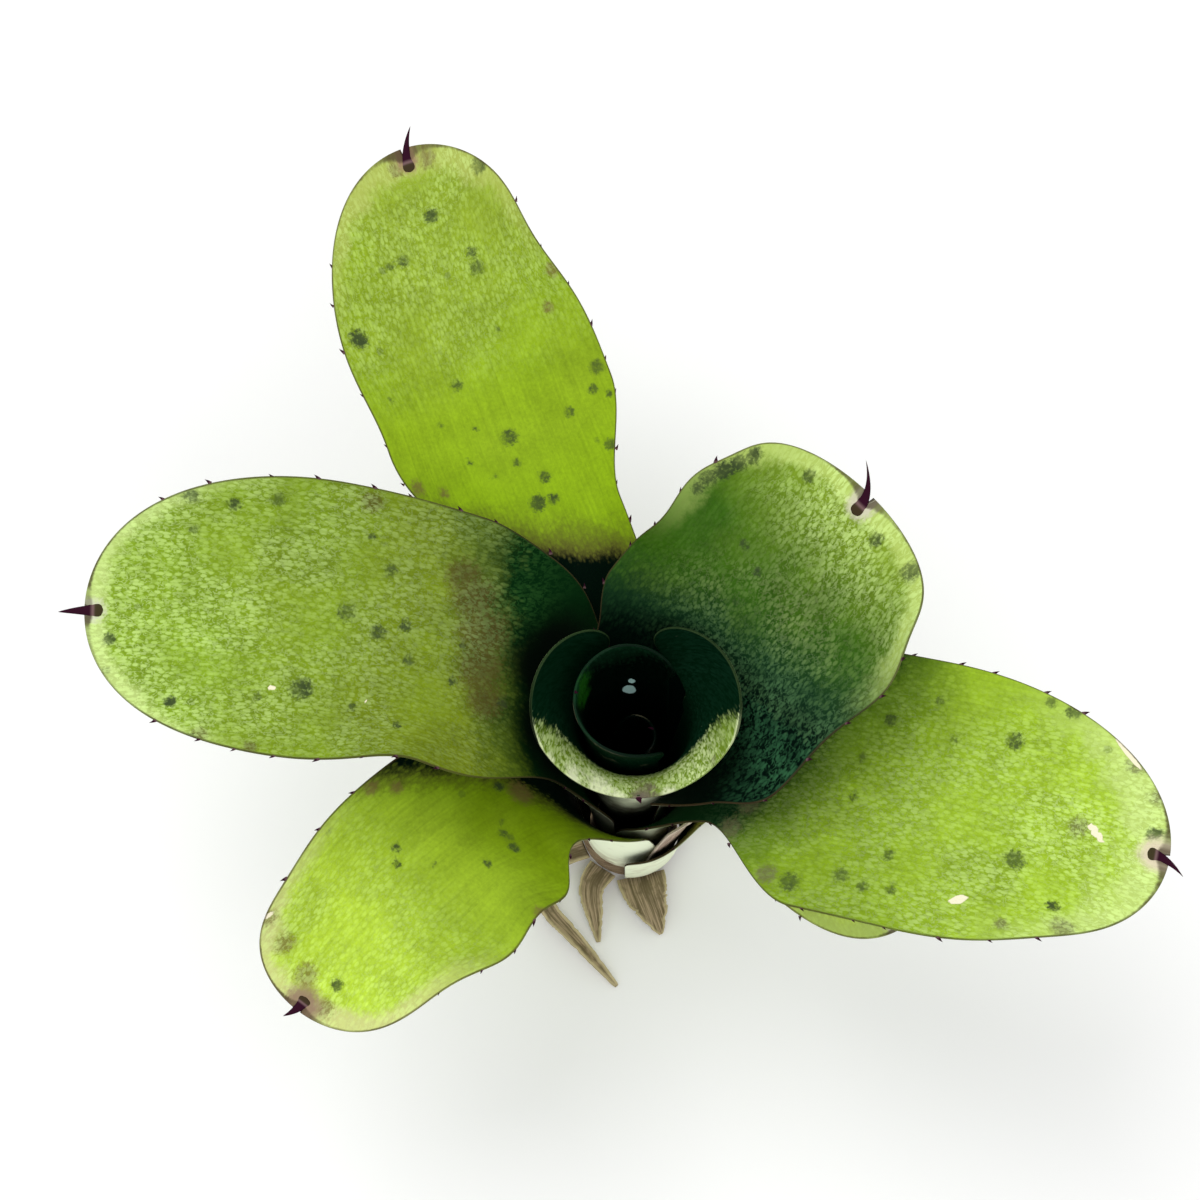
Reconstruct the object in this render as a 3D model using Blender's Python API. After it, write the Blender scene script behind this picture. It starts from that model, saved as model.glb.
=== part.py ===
"""A small neoregelia bromeliad as picked: one short stem, ten clasping leaves and dry bracts.

The plant stands upright on the flat cut end of its stem. X is to the right, Y to the back
and Z up. Each piece is made round the stem axis, and at the end the whole plant is moved so
that the middle of its outline from above is at the origin. Sizes are in millimetres and
angles in degrees, and they become metres and radians where the meshes are made.
"""

import math
import random

import bmesh
import bpy
import numpy as np

MM = 0.001

# Stem: a short cone that carries the leaves, cut flat at its foot.
STEM_FOOT_RADIUS = 9.5
STEM_FOOT_BEVEL = 0.8
STEM_SIDES = 24
SEAT_GAP = 0.3

# Leaf tube: every leaf base lies on its own shell round the plant axis, one inside another.
TUBE_FOOT_RADIUS = 3.0
TUBE_FOOT_STEP = 0.95
TUBE_TOP_HEIGHT = 80.0
TUBE_TOP_RADIUS = (5.6, 10.2, 12.1, 14.0, 15.5, 17.0, 18.5, 20.0, 21.5, 23.0)
TUBE_SWELL = 1.2

# Leaf blade thickness at the margin and at the middle.
MARGIN_THICKNESS = 0.6
MIDDLE_THICKNESS = 0.95

# Marginal teeth and the spine at the leaf tip.
TOOTH_WIDTH = 1.3
TOOTH_LENGTH = 1.2
TOOTH_LEAN = 0.7
SPINE_BASE_WIDTH = 2.4
SPINE_BASE_DEPTH = 1.1
RIM_MIDDLE = 0.03

# Dry bracts: the papery remains of old leaves at the foot of the stem.
BRACT_THICKNESS = 0.7
BRACT_START_RADIUS = 11.2
BRACT_START_HEIGHT = 2.2
BRACT_CURL = 1.0
BRACT_WOBBLE = 1.2

LEAF_DEFAULTS = {
    "layer": 5,             # shell of the tube the base lies on, 0 is the innermost
    "root_height": 6.0,     # where the base leaves the stem
    "heading": 0.0,         # compass direction of the midrib, anticlockwise from +X
    "clasp_height": 44.0,   # where the blade starts to leave the tube
    "blade": 110.0,         # length of the blade along its midrib
    "bend": 45.0,           # length over which it turns outwards
    "climb": 25.0,          # slope of the midrib after the bend
    "tip_climb": 5.0,       # slope of the midrib at the tip
    "sweep": 0.0,           # sideways turn of the midrib from base to tip
    "roll": 0.0,            # twist of the blade about its midrib
    "sheath": 46.0,         # width of the clasping base
    "wrap": 88.0,           # half angle the base may reach round the tube
    "offset": 0.0,          # how far the clasping base is set to one side of the midrib
    "neck": 30.0,           # width at the neck
    "neck_at": 14.0,        # distance of the neck past the clasp height
    "width": 56.0,          # greatest width
    "widest_at": 50.0,
    "shoulder": 10.0,       # where the base starts to narrow, before the clasp height
    "rounding": 44.0,       # length of the rounded end
    "blunt": 2.2,           # a higher number makes a squarer end
    "hold": 8.0,            # the section starts to flatten this far before the clasp height
    "flatten": 35.0,        # and is flat this far past it
    "channel": 24.0,        # half angle of the shallow channel across the blade
    "notch": 0.8,           # depth of the dent behind the tip spine
    "waves": (),            # margin waves: (distance, length, height, side, outward)
    "teeth": 8.5,           # spacing of the marginal teeth, 0 for none
    "spine": 6.5,           # length of the tip spine
    "spine_lift": 1.0,      # how far its point turns up
    "spine_hook": 0.5,      # how far its point turns sideways
    "rim": False,           # the end is a wide rim and not a pointed tip
    "columns": 8,
    "seed": 1,
}


def clear_scene():
    for item in list(bpy.data.objects):
        bpy.data.objects.remove(item, do_unlink=True)


def make_material(name, colour, roughness):
    material = bpy.data.materials.new(name)
    material.use_nodes = True
    shader = material.node_tree.nodes["Principled BSDF"]
    shader.inputs["Base Color"].default_value = (colour[0], colour[1], colour[2], 1.0)
    shader.inputs["Roughness"].default_value = roughness
    shader.inputs["Metallic"].default_value = 0.0
    return material


def ease(value):
    value = np.clip(value, 0.0, 1.0)
    return value * value * (3.0 - 2.0 * value)


def tube_radius(layer, height):
    foot = TUBE_FOOT_RADIUS + TUBE_FOOT_STEP * layer
    share = np.clip(np.asarray(height) / TUBE_TOP_HEIGHT, 0.0, 1.3) ** TUBE_SWELL
    return foot + (TUBE_TOP_RADIUS[layer] - foot) * share


def leaf_shape(**changes):
    leaf = dict(LEAF_DEFAULTS)
    leaf.update(changes)
    return leaf


def midrib_path(leaf):
    """Follow the midrib up its tube, round the bend and out along the blade."""
    heights = np.linspace(leaf["root_height"], leaf["clasp_height"], 80)
    radii = tube_radius(leaf["layer"], heights)
    steps = np.hypot(np.diff(radii), np.diff(heights))
    base_along = np.concatenate([[0.0], np.cumsum(steps)])
    clasp = base_along[-1]
    base_slope = np.arctan2(np.gradient(heights), np.gradient(radii))

    extra = 8.0
    out = np.linspace(0.0, leaf["blade"] + extra, 300)
    climb = math.radians(leaf["climb"])
    tip_climb = math.radians(leaf["tip_climb"])
    slope = base_slope[-1] + (climb - base_slope[-1]) * ease(out / leaf["bend"])
    fade_from = 0.35 * leaf["bend"]
    fade = (out - fade_from) / (leaf["blade"] - fade_from)
    slope = slope + (tip_climb - climb) * ease(fade)
    middle = (slope[1:] + slope[:-1]) / 2.0
    lengths = np.diff(out)
    blade_radii = radii[-1] + np.cumsum(np.cos(middle) * lengths)
    blade_heights = heights[-1] + np.cumsum(np.sin(middle) * lengths)

    along = np.concatenate([base_along, clasp + out[1:]])
    radius = np.concatenate([radii, blade_radii])
    height = np.concatenate([heights, blade_heights])
    slopes = np.concatenate([base_slope, slope[1:]])

    turn = math.radians(leaf["sweep"]) * ease((along - clasp) / leaf["blade"])
    heading = math.radians(leaf["heading"]) + turn
    middle_heading = (heading[1:] + heading[:-1]) / 2.0
    run = np.diff(radius)
    x = radius[0] * math.cos(heading[0]) + np.cumsum(run * np.cos(middle_heading))
    y = radius[0] * math.sin(heading[0]) + np.cumsum(run * np.sin(middle_heading))
    x = np.concatenate([[radius[0] * math.cos(heading[0])], x])
    y = np.concatenate([[radius[0] * math.sin(heading[0])], y])
    return {
        "along": along,
        "clasp": clasp,
        "x": x,
        "y": y,
        "z": height,
        "radius": radius,
        "slope": slopes,
        "heading": heading,
    }


def half_width(leaf, path, along):
    """Half the width of the leaf at a distance along it from its root."""
    past = along - path["clasp"]
    radius = np.interp(along, path["along"], path["radius"])
    limit = math.radians(leaf["wrap"]) * radius + 100.0 * ease((past + 5.0) / 25.0)
    sheath = np.minimum(leaf["sheath"] / 2.0, limit)
    neck = leaf["neck"] / 2.0
    to_neck = ease((past + leaf["shoulder"]) / (leaf["neck_at"] + leaf["shoulder"]))
    from_neck = ease((past - leaf["neck_at"]) / (leaf["widest_at"] - leaf["neck_at"]))
    below = sheath + (neck - sheath) * to_neck
    above = neck + (leaf["width"] / 2.0 - neck) * from_neck
    width = np.where(past < leaf["neck_at"], np.minimum(below, limit), above)
    end = (past - (leaf["blade"] - leaf["rounding"])) / leaf["rounding"]
    end = np.clip(end, 0.0, 1.0)
    return width * np.sqrt(1.0 - end ** leaf["blunt"])


def leaf_surface(leaf, path, nominal, across, shift):
    """Point on the middle surface: across runs from -1 to 1, shift moves it along the leaf."""
    along = nominal + shift
    past = along - path["clasp"]
    width = half_width(leaf, path, nominal)
    read = {}
    for name in ("x", "y", "z", "radius", "slope", "heading"):
        read[name] = np.interp(along, path["along"], path[name])
    hug = 1.0 - ease((past + leaf["hold"]) / (leaf["flatten"] + leaf["hold"]))
    lean = (1.0 - hug) * (math.pi / 2.0 - read["slope"])
    channel = math.radians(leaf["channel"]) / (leaf["width"] / 2.0)
    bending = hug / np.maximum(read["radius"], 1.0) + (1.0 - hug) * channel
    angle = (across * width + leaf["offset"] * hug) * bending
    side = np.sin(angle) / bending
    depth = (1.0 - np.cos(angle)) / bending
    for distance, length, height, wave_side, outward in leaf["waves"]:
        share = np.exp(-(((past - distance) / length) ** 2))
        share = share * np.clip(across * wave_side, 0.0, 1.0) ** 2
        depth = depth + height * share
        side = side + wave_side * outward * share
    roll = math.radians(leaf["roll"]) * ease(past / leaf["blade"])
    turned_side = side * np.cos(roll) - depth * np.sin(roll)
    turned_depth = side * np.sin(roll) + depth * np.cos(roll)
    cos_h = np.cos(read["heading"])
    sin_h = np.sin(read["heading"])
    inward = -np.cos(lean)
    return np.stack(
        [
            read["x"] - sin_h * turned_side + cos_h * inward * turned_depth,
            read["y"] + cos_h * turned_side + sin_h * inward * turned_depth,
            read["z"] + np.sin(lean) * turned_depth,
        ],
        axis=-1,
    )


def unit(vectors):
    lengths = np.linalg.norm(vectors, axis=-1, keepdims=True)
    return vectors / np.maximum(lengths, 1e-9)


def leaf_rows(leaf, path):
    """Distances of the mesh rows, each with its skew and whether a tooth starts there."""
    rng = random.Random(leaf["seed"])
    clasp = path["clasp"]
    blade = leaf["blade"]
    rows = []
    for share in (0.0, 0.3, 0.58, 0.82, 1.0):
        rows.append((share * clasp, 0.0, False))
    round_start = blade - leaf["rounding"]
    last_tooth = round_start + 0.72 * leaf["rounding"]
    place = 6.0
    if leaf["teeth"] > 0.0:
        while place < last_tooth:
            skew = rng.uniform(-1.3, 1.3)
            rows.append((clasp + place - TOOTH_WIDTH / 2.0, skew, True))
            rows.append((clasp + place + TOOTH_WIDTH / 2.0, skew, False))
            place += leaf["teeth"] * rng.uniform(0.85, 1.15)
    else:
        while place < last_tooth:
            rows.append((clasp + place, 0.0, False))
            place += 7.0
    if leaf["rim"]:
        rows = [row for row in rows if row[0] - clasp < round_start]
        for share in (0.0, 0.3, 0.55, 0.75, 0.88):
            rows.append((clasp + round_start + share * leaf["rounding"], 0.0, False))
        return rows
    for degrees in (48.0, 60.0, 70.0, 78.0):
        end = round_start + leaf["rounding"] * math.sin(math.radians(degrees))
        if end - (rows[-1][0] - clasp) > 1.6:
            rows.append((clasp + end, 0.0, False))
    return rows


def zip_rows(faces, first, second, outward):
    """Join two rows of vertices that may differ in number with a strip of triangles."""
    i = 0
    j = 0
    while i < len(first) - 1 or j < len(second) - 1:
        next_first = (i + 1) / max(1, len(first) - 1)
        next_second = (j + 1) / max(1, len(second) - 1)
        if j == len(second) - 1 or (i < len(first) - 1 and next_first <= next_second):
            triangle = (first[i], second[j], first[i + 1])
            i += 1
        else:
            triangle = (first[i], second[j], second[j + 1])
            j += 1
        faces.append(triangle if outward else triangle[::-1])


def body_from(name, points, faces, material):
    """Make one closed body from points in millimetres and put it in the scene."""
    mesh = bpy.data.meshes.new(name)
    scaled = [tuple(float(value) * MM for value in point) for point in points]
    mesh.from_pydata(scaled, [], faces)
    work = bmesh.new()
    work.from_mesh(mesh)
    bmesh.ops.recalc_face_normals(work, faces=work.faces)
    if work.calc_volume(signed=True) < 0.0:
        bmesh.ops.reverse_faces(work, faces=work.faces)
    work.to_mesh(mesh)
    work.free()
    for polygon in mesh.polygons:
        polygon.use_smooth = True
    mesh.materials.append(material)
    body = bpy.data.objects.new(name, mesh)
    bpy.context.scene.collection.objects.link(body)
    return body


def make_leaf(name, leaf, material):
    """One leaf: two faces a little apart, closed at the edges, with teeth and a tip spine."""
    path = midrib_path(leaf)
    rows = leaf_rows(leaf, path)
    clasp = path["clasp"]
    across = np.linspace(-1.0, 1.0, leaf["columns"] + 1)
    if leaf["rim"]:
        across = np.linspace(RIM_MIDDLE, 1.0, leaf["columns"] // 2 + 1)
        across = np.concatenate([-across[::-1], across])
    count = len(across)
    nominal = np.array([row[0] for row in rows])[:, None] + 0.0 * across[None, :]
    skew = np.array([row[1] for row in rows])[:, None] * across[None, :]
    near_tip = (nominal - clasp - leaf["blade"] + leaf["rounding"]) / leaf["rounding"]
    shift = skew + leaf["notch"] * ease(near_tip) * np.abs(across[None, :]) ** 1.5
    spread = across[None, :] + 0.0 * nominal

    middle = leaf_surface(leaf, path, nominal, spread, shift)
    ahead = leaf_surface(leaf, path, nominal, spread, shift + 0.3)
    behind = leaf_surface(leaf, path, nominal, spread, shift - 0.3)
    right = leaf_surface(leaf, path, nominal, spread + 0.03, shift)
    left = leaf_surface(leaf, path, nominal, spread - 0.03, shift)
    forward = unit(ahead - behind)
    sideways = unit(right - left)
    upper = unit(np.cross(forward, sideways))
    fullness = ease((nominal - clasp) / 20.0) * (1.0 - ease(near_tip) * 0.6)
    thick = MARGIN_THICKNESS + (MIDDLE_THICKNESS - MARGIN_THICKNESS) * fullness * (
        1.0 - spread ** 2
    )
    top = middle + upper * thick[..., None] / 2.0
    under = middle - upper * thick[..., None] / 2.0

    points = []
    faces = []
    top_id = []
    under_id = []
    for i in range(len(rows)):
        top_id.append(list(range(len(points), len(points) + count)))
        points.extend(top[i])
        under_id.append(list(range(len(points), len(points) + count)))
        points.extend(under[i])

    for i in range(len(rows) - 1):
        for j in range(count - 1):
            a, b, c, d = top_id[i][j], top_id[i + 1][j], top_id[i + 1][j + 1], top_id[i][j + 1]
            faces.append((a, b, c))
            faces.append((a, c, d))
            a, b, c, d = (
                under_id[i][j],
                under_id[i + 1][j],
                under_id[i + 1][j + 1],
                under_id[i][j + 1],
            )
            faces.append((a, c, b))
            faces.append((a, d, c))
        for j, sign in ((0, -1.0), (count - 1, 1.0)):
            corner = (top_id[i][j], top_id[i + 1][j], under_id[i + 1][j], under_id[i][j])
            if rows[i][2]:
                centre = sum(np.array(points[number]) for number in corner) / 4.0
                reach = sideways[i, j] * sign * TOOTH_LENGTH
                apex = len(points)
                points.append(centre + reach + forward[i, j] * TOOTH_LENGTH * TOOTH_LEAN)
                for k in range(4):
                    faces.append((corner[k], corner[(k + 1) % 4], apex))
            else:
                faces.append((corner[0], corner[1], corner[2]))
                faces.append((corner[0], corner[2], corner[3]))

    close_end(points, faces, top_id[0], under_id[0], 0.0)
    if leaf["rim"]:
        close_end(points, faces, top_id[-1], under_id[-1], leaf["spine"])
    else:
        add_spine(leaf, path, points, faces, top_id[-1], under_id[-1])
    return body_from(name, points, faces, material)


def close_end(points, faces, top_row, under_row, point_length):
    """Close an end straight across, with a short point in the middle if a length is given."""
    middle = (len(top_row) - 1) // 2
    for j in range(len(top_row) - 1):
        ring = (top_row[j], top_row[j + 1], under_row[j + 1], under_row[j])
        if j != middle or point_length == 0.0:
            faces.append((ring[0], ring[1], ring[2]))
            faces.append((ring[0], ring[2], ring[3]))
            continue
        corners = [np.array(points[number]) for number in ring]
        ahead = unit(np.cross(corners[1] - corners[0], corners[0] - corners[3]))
        apex = len(points)
        points.append(sum(corners) / 4.0 + ahead * point_length)
        for k in range(4):
            faces.append((ring[k], ring[(k + 1) % 4], apex))


def add_spine(leaf, path, points, faces, last_top, last_under):
    """Close the tip with a curved spine of shrinking four sided rings and a point."""
    end = np.array(path["clasp"] + leaf["blade"] - 0.4)
    zero = np.array(0.0)
    start = leaf_surface(leaf, path, end, zero, zero)
    forward = unit(leaf_surface(leaf, path, end, zero, zero + 0.5) - start)
    beside = leaf_surface(leaf, path, end - 6.0, zero + 0.1, zero + 6.0)
    opposite = leaf_surface(leaf, path, end - 6.0, zero - 0.1, zero + 6.0)
    sideways = unit(beside - opposite)
    upper = unit(np.cross(forward, sideways))
    rings = []
    for share in (0.0, 0.3, 0.65):
        size = (1.0 - share) ** 0.8
        centre = start + forward * leaf["spine"] * share
        centre = centre + upper * leaf["spine_lift"] * share ** 2
        centre = centre + sideways * leaf["spine_hook"] * share ** 2
        half = SPINE_BASE_WIDTH / 2.0 * size
        depth = SPINE_BASE_DEPTH / 2.0 * size
        first = len(points)
        points.append(centre - sideways * half)
        points.append(centre + upper * depth)
        points.append(centre + sideways * half)
        points.append(centre - upper * depth)
        rings.append([first, first + 1, first + 2, first + 3])
    apex = len(points)
    points.append(
        start
        + forward * leaf["spine"]
        + upper * leaf["spine_lift"]
        + sideways * leaf["spine_hook"]
    )
    base = rings[0]
    zip_rows(faces, last_top, [base[0], base[1], base[2]], True)
    zip_rows(faces, last_under, [base[0], base[3], base[2]], False)
    faces.append((last_top[0], base[0], last_under[0]))
    faces.append((last_top[-1], last_under[-1], base[2]))
    for ring, following in ((rings[0], rings[1]), (rings[1], rings[2])):
        for k in range(4):
            n = (k + 1) % 4
            faces.append((ring[k], following[k], following[n]))
            faces.append((ring[k], following[n], ring[n]))
    for k in range(4):
        faces.append((rings[2][k], apex, rings[2][(k + 1) % 4]))


def make_stem(name, layers, material):
    """The stem narrows upwards so that each leaf base sits a hair away from it."""
    profile = [(STEM_FOOT_RADIUS, 0.0), (STEM_FOOT_RADIUS + STEM_FOOT_BEVEL, STEM_FOOT_BEVEL)]
    for layer, height in layers:
        radius = float(tube_radius(layer, height)) - MARGIN_THICKNESS / 2.0 - SEAT_GAP
        profile.append((radius, height - 0.5))
    profile.append((2.4, layers[-1][1] + 3.5))
    points = []
    faces = []
    for radius, height in profile:
        for k in range(STEM_SIDES):
            angle = 2.0 * math.pi * k / STEM_SIDES
            points.append((radius * math.cos(angle), radius * math.sin(angle), height))
    for ring in range(len(profile) - 1):
        for k in range(STEM_SIDES):
            n = (k + 1) % STEM_SIDES
            a = ring * STEM_SIDES
            b = a + STEM_SIDES
            faces.append((a + k, a + n, b + n, b + k))
    faces.append(tuple(reversed(range(STEM_SIDES))))
    last = (len(profile) - 1) * STEM_SIDES
    faces.append(tuple(range(last, last + STEM_SIDES)))
    stem = body_from(name, points, faces, material)
    for polygon in stem.data.polygons:
        if len(polygon.vertices) > 4:
            polygon.use_smooth = False
    return stem


def make_bract(name, bract, material):
    """A dry strip that leaves the foot of the stem and comes down to rest on its tip."""
    rows = 9
    columns = 4
    share = np.linspace(0.0, 1.0, rows)[:, None]
    across = np.linspace(-1.0, 1.0, columns + 1)[None, :]
    length = bract["length"]
    leave = math.radians(bract["leave"])
    turn = math.radians(bract["end"]) - leave
    heading = leave + turn * ease(share / 0.5)
    step = length / (rows - 1)
    x = np.concatenate([[[0.0]], np.cumsum(np.cos(heading[:-1]) * step, axis=0)])
    y = np.concatenate([[[0.0]], np.cumsum(np.sin(heading[:-1]) * step, axis=0)])
    x = x + BRACT_START_RADIUS * math.cos(leave)
    y = y + BRACT_START_RADIUS * math.sin(leave)
    half = BRACT_THICKNESS / 2.0
    z = half + (BRACT_START_HEIGHT - half) * (1.0 - share)
    z = z + 4.0 * bract["hump"] * share * (1.0 - share)
    width = bract["width"] / 2.0 * (1.0 - share ** bract["taper"]) + 0.5
    side = across * width
    curl = BRACT_CURL * across ** 2 * (0.3 + 0.7 * share) * width / (bract["width"] / 2.0)
    wobble = BRACT_WOBBLE * np.sin(5.0 * share + 2.0 * across) * share * (1.0 - share)
    middle = np.stack(
        [x - np.sin(heading) * side, y + np.cos(heading) * side, z + curl + wobble], axis=-1
    )
    forward = unit(np.gradient(middle, axis=0))
    sideways = unit(np.gradient(middle, axis=1))
    upper = unit(np.cross(forward, sideways))
    top = middle + upper * half
    under = middle - upper * half
    lowest = min(top[..., 2].min(), under[..., 2].min())
    points = []
    for i in range(rows):
        points.extend(top[i])
        points.extend(under[i])
    points = [np.array(point) - np.array([0.0, 0.0, lowest]) for point in points]
    faces = []
    per_row = 2 * (columns + 1)
    for i in range(rows - 1):
        for j in range(columns):
            a = i * per_row + j
            b = a + per_row
            faces.append((a, b, b + 1))
            faces.append((a, b + 1, a + 1))
            a = a + columns + 1
            b = b + columns + 1
            faces.append((a, b + 1, b))
            faces.append((a, a + 1, b + 1))
        for j in (0, columns):
            a = i * per_row + j
            b = a + per_row
            faces.append((a, b, b + columns + 1))
            faces.append((a, b + columns + 1, a + columns + 1))
    for i in (0, rows - 1):
        for j in range(columns):
            a = i * per_row + j
            faces.append((a, a + 1, a + columns + 2))
            faces.append((a, a + columns + 2, a + columns + 1))
    return body_from(name, points, faces, material)


clear_scene()

leaf_green = make_material("leaf_green", (0.26, 0.42, 0.05), 0.45)
leaf_cup = make_material("leaf_cup", (0.05, 0.16, 0.09), 0.35)
stem_wood = make_material("stem_wood", (0.36, 0.28, 0.17), 0.8)
dry_bract = make_material("dry_bract", (0.33, 0.25, 0.18), 0.85)

# Leaf low right: the oldest living leaf, short, under the right hand leaf.
low_right = leaf_shape(
    layer=9, root_height=4.0, heading=-8.0, clasp_height=30.0, blade=71.5, climb=12.0,
    tip_climb=-5.0, sweep=-53.0, neck=16.0, neck_at=18.5, width=38.5, widest_at=46.0,
    rounding=26.0, channel=18.0, seed=11, spine=1.6,
)
make_leaf("leaf_low_right", low_right, leaf_green)

# Leaf front left: yellow green, smooth, its base folded round the front of the tube.
front_left = leaf_shape(
    layer=7, root_height=6.5, heading=208.5, clasp_height=43.0, blade=93.5, climb=25.0,
    tip_climb=0.0, sweep=26.0, roll=-12.0, sheath=27.0, offset=6.0, shoulder=-5.0,
    neck=22.5, neck_at=20.0, width=42.0, widest_at=50.0, rounding=49.0, blunt=5.5,
    hold=0.0, channel=34.0, notch=1.5,
    waves=(
        (38.0, 7.0, 1.5, 1.0, 5.4), (58.0, 12.0, 0.0, 1.0, 5.4), (78.0, 10.0, 0.0, -1.0, -1.5),
    ),
    seed=12, spine=4.5, spine_hook=-1.5,
)
make_leaf("leaf_front_left", front_left, leaf_green)

# Leaf back: the longest, pale yellow green, pinched on its right side above the neck.
back = leaf_shape(
    layer=6, root_height=9.0, heading=117.0, clasp_height=47.0, blade=138.0, climb=26.0,
    tip_climb=8.0, sweep=-9.5, roll=-8.0, sheath=30.0, neck=38.0, neck_at=53.0, width=53.5,
    widest_at=78.0, rounding=54.0, blunt=2.4, channel=22.0, notch=3.6,
    waves=(
        (50.0, 12.0, 1.0, 1.0, -5.5), (80.0, 16.0, 0.0, 1.0, -3.0), (112.0, 14.0, 0.0, -1.0, -3.0),
    ),
    seed=13, spine=8.0, spine_hook=-3.0,
)
make_leaf("leaf_back", back, leaf_green)

# Leaf right: broad and long, with a narrow channelled neck.
right = leaf_shape(
    layer=5, root_height=11.5, heading=-19.3, clasp_height=50.0, blade=113.5, climb=24.0,
    tip_climb=0.0, sweep=4.3, sheath=36.0, neck=26.0, neck_at=23.5, width=57.5,
    widest_at=48.5, rounding=47.5, blunt=2.2, channel=16.0, notch=2.6,
    waves=((95.0, 12.0, 0.0, -1.0, -1.4),), seed=14, spine=6.0, spine_hook=-3.25,
)
make_leaf("leaf_right", right, leaf_green)

# Leaf left: broad and long, rolled a little towards the front.
left = leaf_shape(
    layer=4, root_height=14.0, heading=161.5, clasp_height=54.0, blade=119.5, climb=28.0,
    tip_climb=6.0, sweep=20.0, roll=-16.0, sheath=34.0, neck=30.0, neck_at=15.0, width=59.5,
    widest_at=50.0, rounding=45.0, channel=34.0, notch=1.6,
    waves=((26.0, 12.0, 0.0, -1.0, 6.0), (52.0, 14.0, 0.0, 1.0, -4.5)), seed=15, spine=7.0,
)
make_leaf("leaf_left", left, leaf_green)

# Leaf hood: shorter, steep and hollow, it backs the cup and ends in a long curved spine.
hood = leaf_shape(
    layer=3, root_height=16.5, heading=30.3, clasp_height=66.0, blade=71.0, bend=38.0,
    climb=50.0, tip_climb=35.0, sweep=10.5, roll=3.6, sheath=44.0, wrap=90.0, neck=50.0,
    neck_at=14.0, width=58.4, widest_at=25.0, rounding=29.5, blunt=4.4, channel=26.0,
    notch=2.8, spine=8.0, spine_lift=2.0, spine_hook=5.0, seed=16,
    waves=(
        (22.0, 9.0, 0.0, -1.0, 2.8), (50.0, 8.0, -1.5, -1.0, 1.2), (62.0, 7.0, 0.0, -1.0, -1.8),
        (42.0, 7.0, 1.5, 1.0, -1.9), (62.0, 7.0, 0.0, 1.0, -1.9),
    ),
)
make_leaf("leaf_hood", hood, leaf_cup)

# Leaf cup front: wraps the cup almost full circle, its end rolled outwards as a rim.
cup_front = leaf_shape(
    layer=2, root_height=19.0, heading=-88.0, clasp_height=80.0, blade=13.0, bend=12.0,
    climb=60.0, tip_climb=-8.0, sheath=44.0, wrap=112.0, neck=50.0, neck_at=1.0,
    width=92.0, widest_at=9.0, shoulder=10.0, rounding=7.0, blunt=2.4, hold=0.0,
    flatten=30.0, channel=80.0, notch=0.0, teeth=5.0, spine=1.6, rim=True,
    columns=16, seed=17,
)
make_leaf("leaf_cup_front", cup_front, leaf_cup)

# Leaf cup inner: the rolled young leaf whose mouth is the dark round middle of the cup.
cup_inner = leaf_shape(
    layer=1, root_height=21.5, heading=172.0, clasp_height=84.0, blade=12.0, bend=20.0,
    climb=78.0, tip_climb=70.0, sheath=44.0, wrap=140.0, neck=46.0, neck_at=1.0,
    width=50.0, widest_at=5.0, rounding=6.0, flatten=60.0, channel=140.0, notch=0.0,
    teeth=0.0, spine=1.0, rim=True, columns=16, seed=18,
)
make_leaf("leaf_cup_inner", cup_inner, leaf_cup)

# Leaf core: the youngest leaf, tightly rolled and still closed inside the cup.
core = leaf_shape(
    layer=0, root_height=24.0, heading=20.0, clasp_height=62.0, blade=12.0, bend=14.0,
    climb=96.0, tip_climb=104.0, sheath=23.0, wrap=150.0, neck=22.0, neck_at=1.0,
    width=20.0, widest_at=4.0, rounding=9.0, flatten=60.0, channel=130.0, notch=0.0,
    teeth=0.0, spine=1.0, rim=True, columns=10, seed=19,
)
make_leaf("leaf_core", core, leaf_cup)

# Stem: its steps follow the heights at which the leaves are rooted.
rooted = (low_right, front_left, back, right, left, hood, cup_front, cup_inner, core)
make_stem("stem", [(leaf["layer"], leaf["root_height"]) for leaf in rooted], stem_wood)

# Dry bract upright: an old leaf base that still stands against the tube.
upright = leaf_shape(
    layer=8, root_height=5.5, heading=-46.0, clasp_height=46.0, blade=9.0, bend=14.0,
    climb=74.0, tip_climb=70.0, sheath=12.0, neck=11.0, neck_at=1.0, width=11.0,
    widest_at=3.0, rounding=7.0, flatten=40.0, channel=30.0, notch=0.0, teeth=0.0,
    spine=1.5, spine_lift=0.0, columns=4, seed=20,
)
make_leaf("bract_upright", upright, dry_bract)

# Dry bracts on the ground: they leave the foot of the stem and rest on their tips.
BRACTS = {
    "bract_front": {"leave": -77.0, "end": -68.0, "length": 14.5, "width": 10.5, "taper": 2.2},
    "bract_front_left": {
        "leave": -124.0, "end": -80.0, "length": 18.0, "width": 6.0, "taper": 1.8,
    },
    "bract_strip": {"leave": -156.0, "end": -47.0, "length": 44.0, "width": 3.6, "taper": 3.0},
    "bract_left": {"leave": 164.0, "end": 156.0, "length": 22.0, "width": 9.0, "taper": 1.8},
    "bract_back": {"leave": 104.0, "end": 112.0, "length": 24.0, "width": 9.0, "taper": 1.8},
    "bract_right": {"leave": 28.0, "end": 12.0, "length": 24.0, "width": 9.0, "taper": 1.8},
}
for bract_name, bract in BRACTS.items():
    bract["hump"] = 1.6 + 0.03 * bract["length"]
    make_bract(bract_name, bract, dry_bract)

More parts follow.
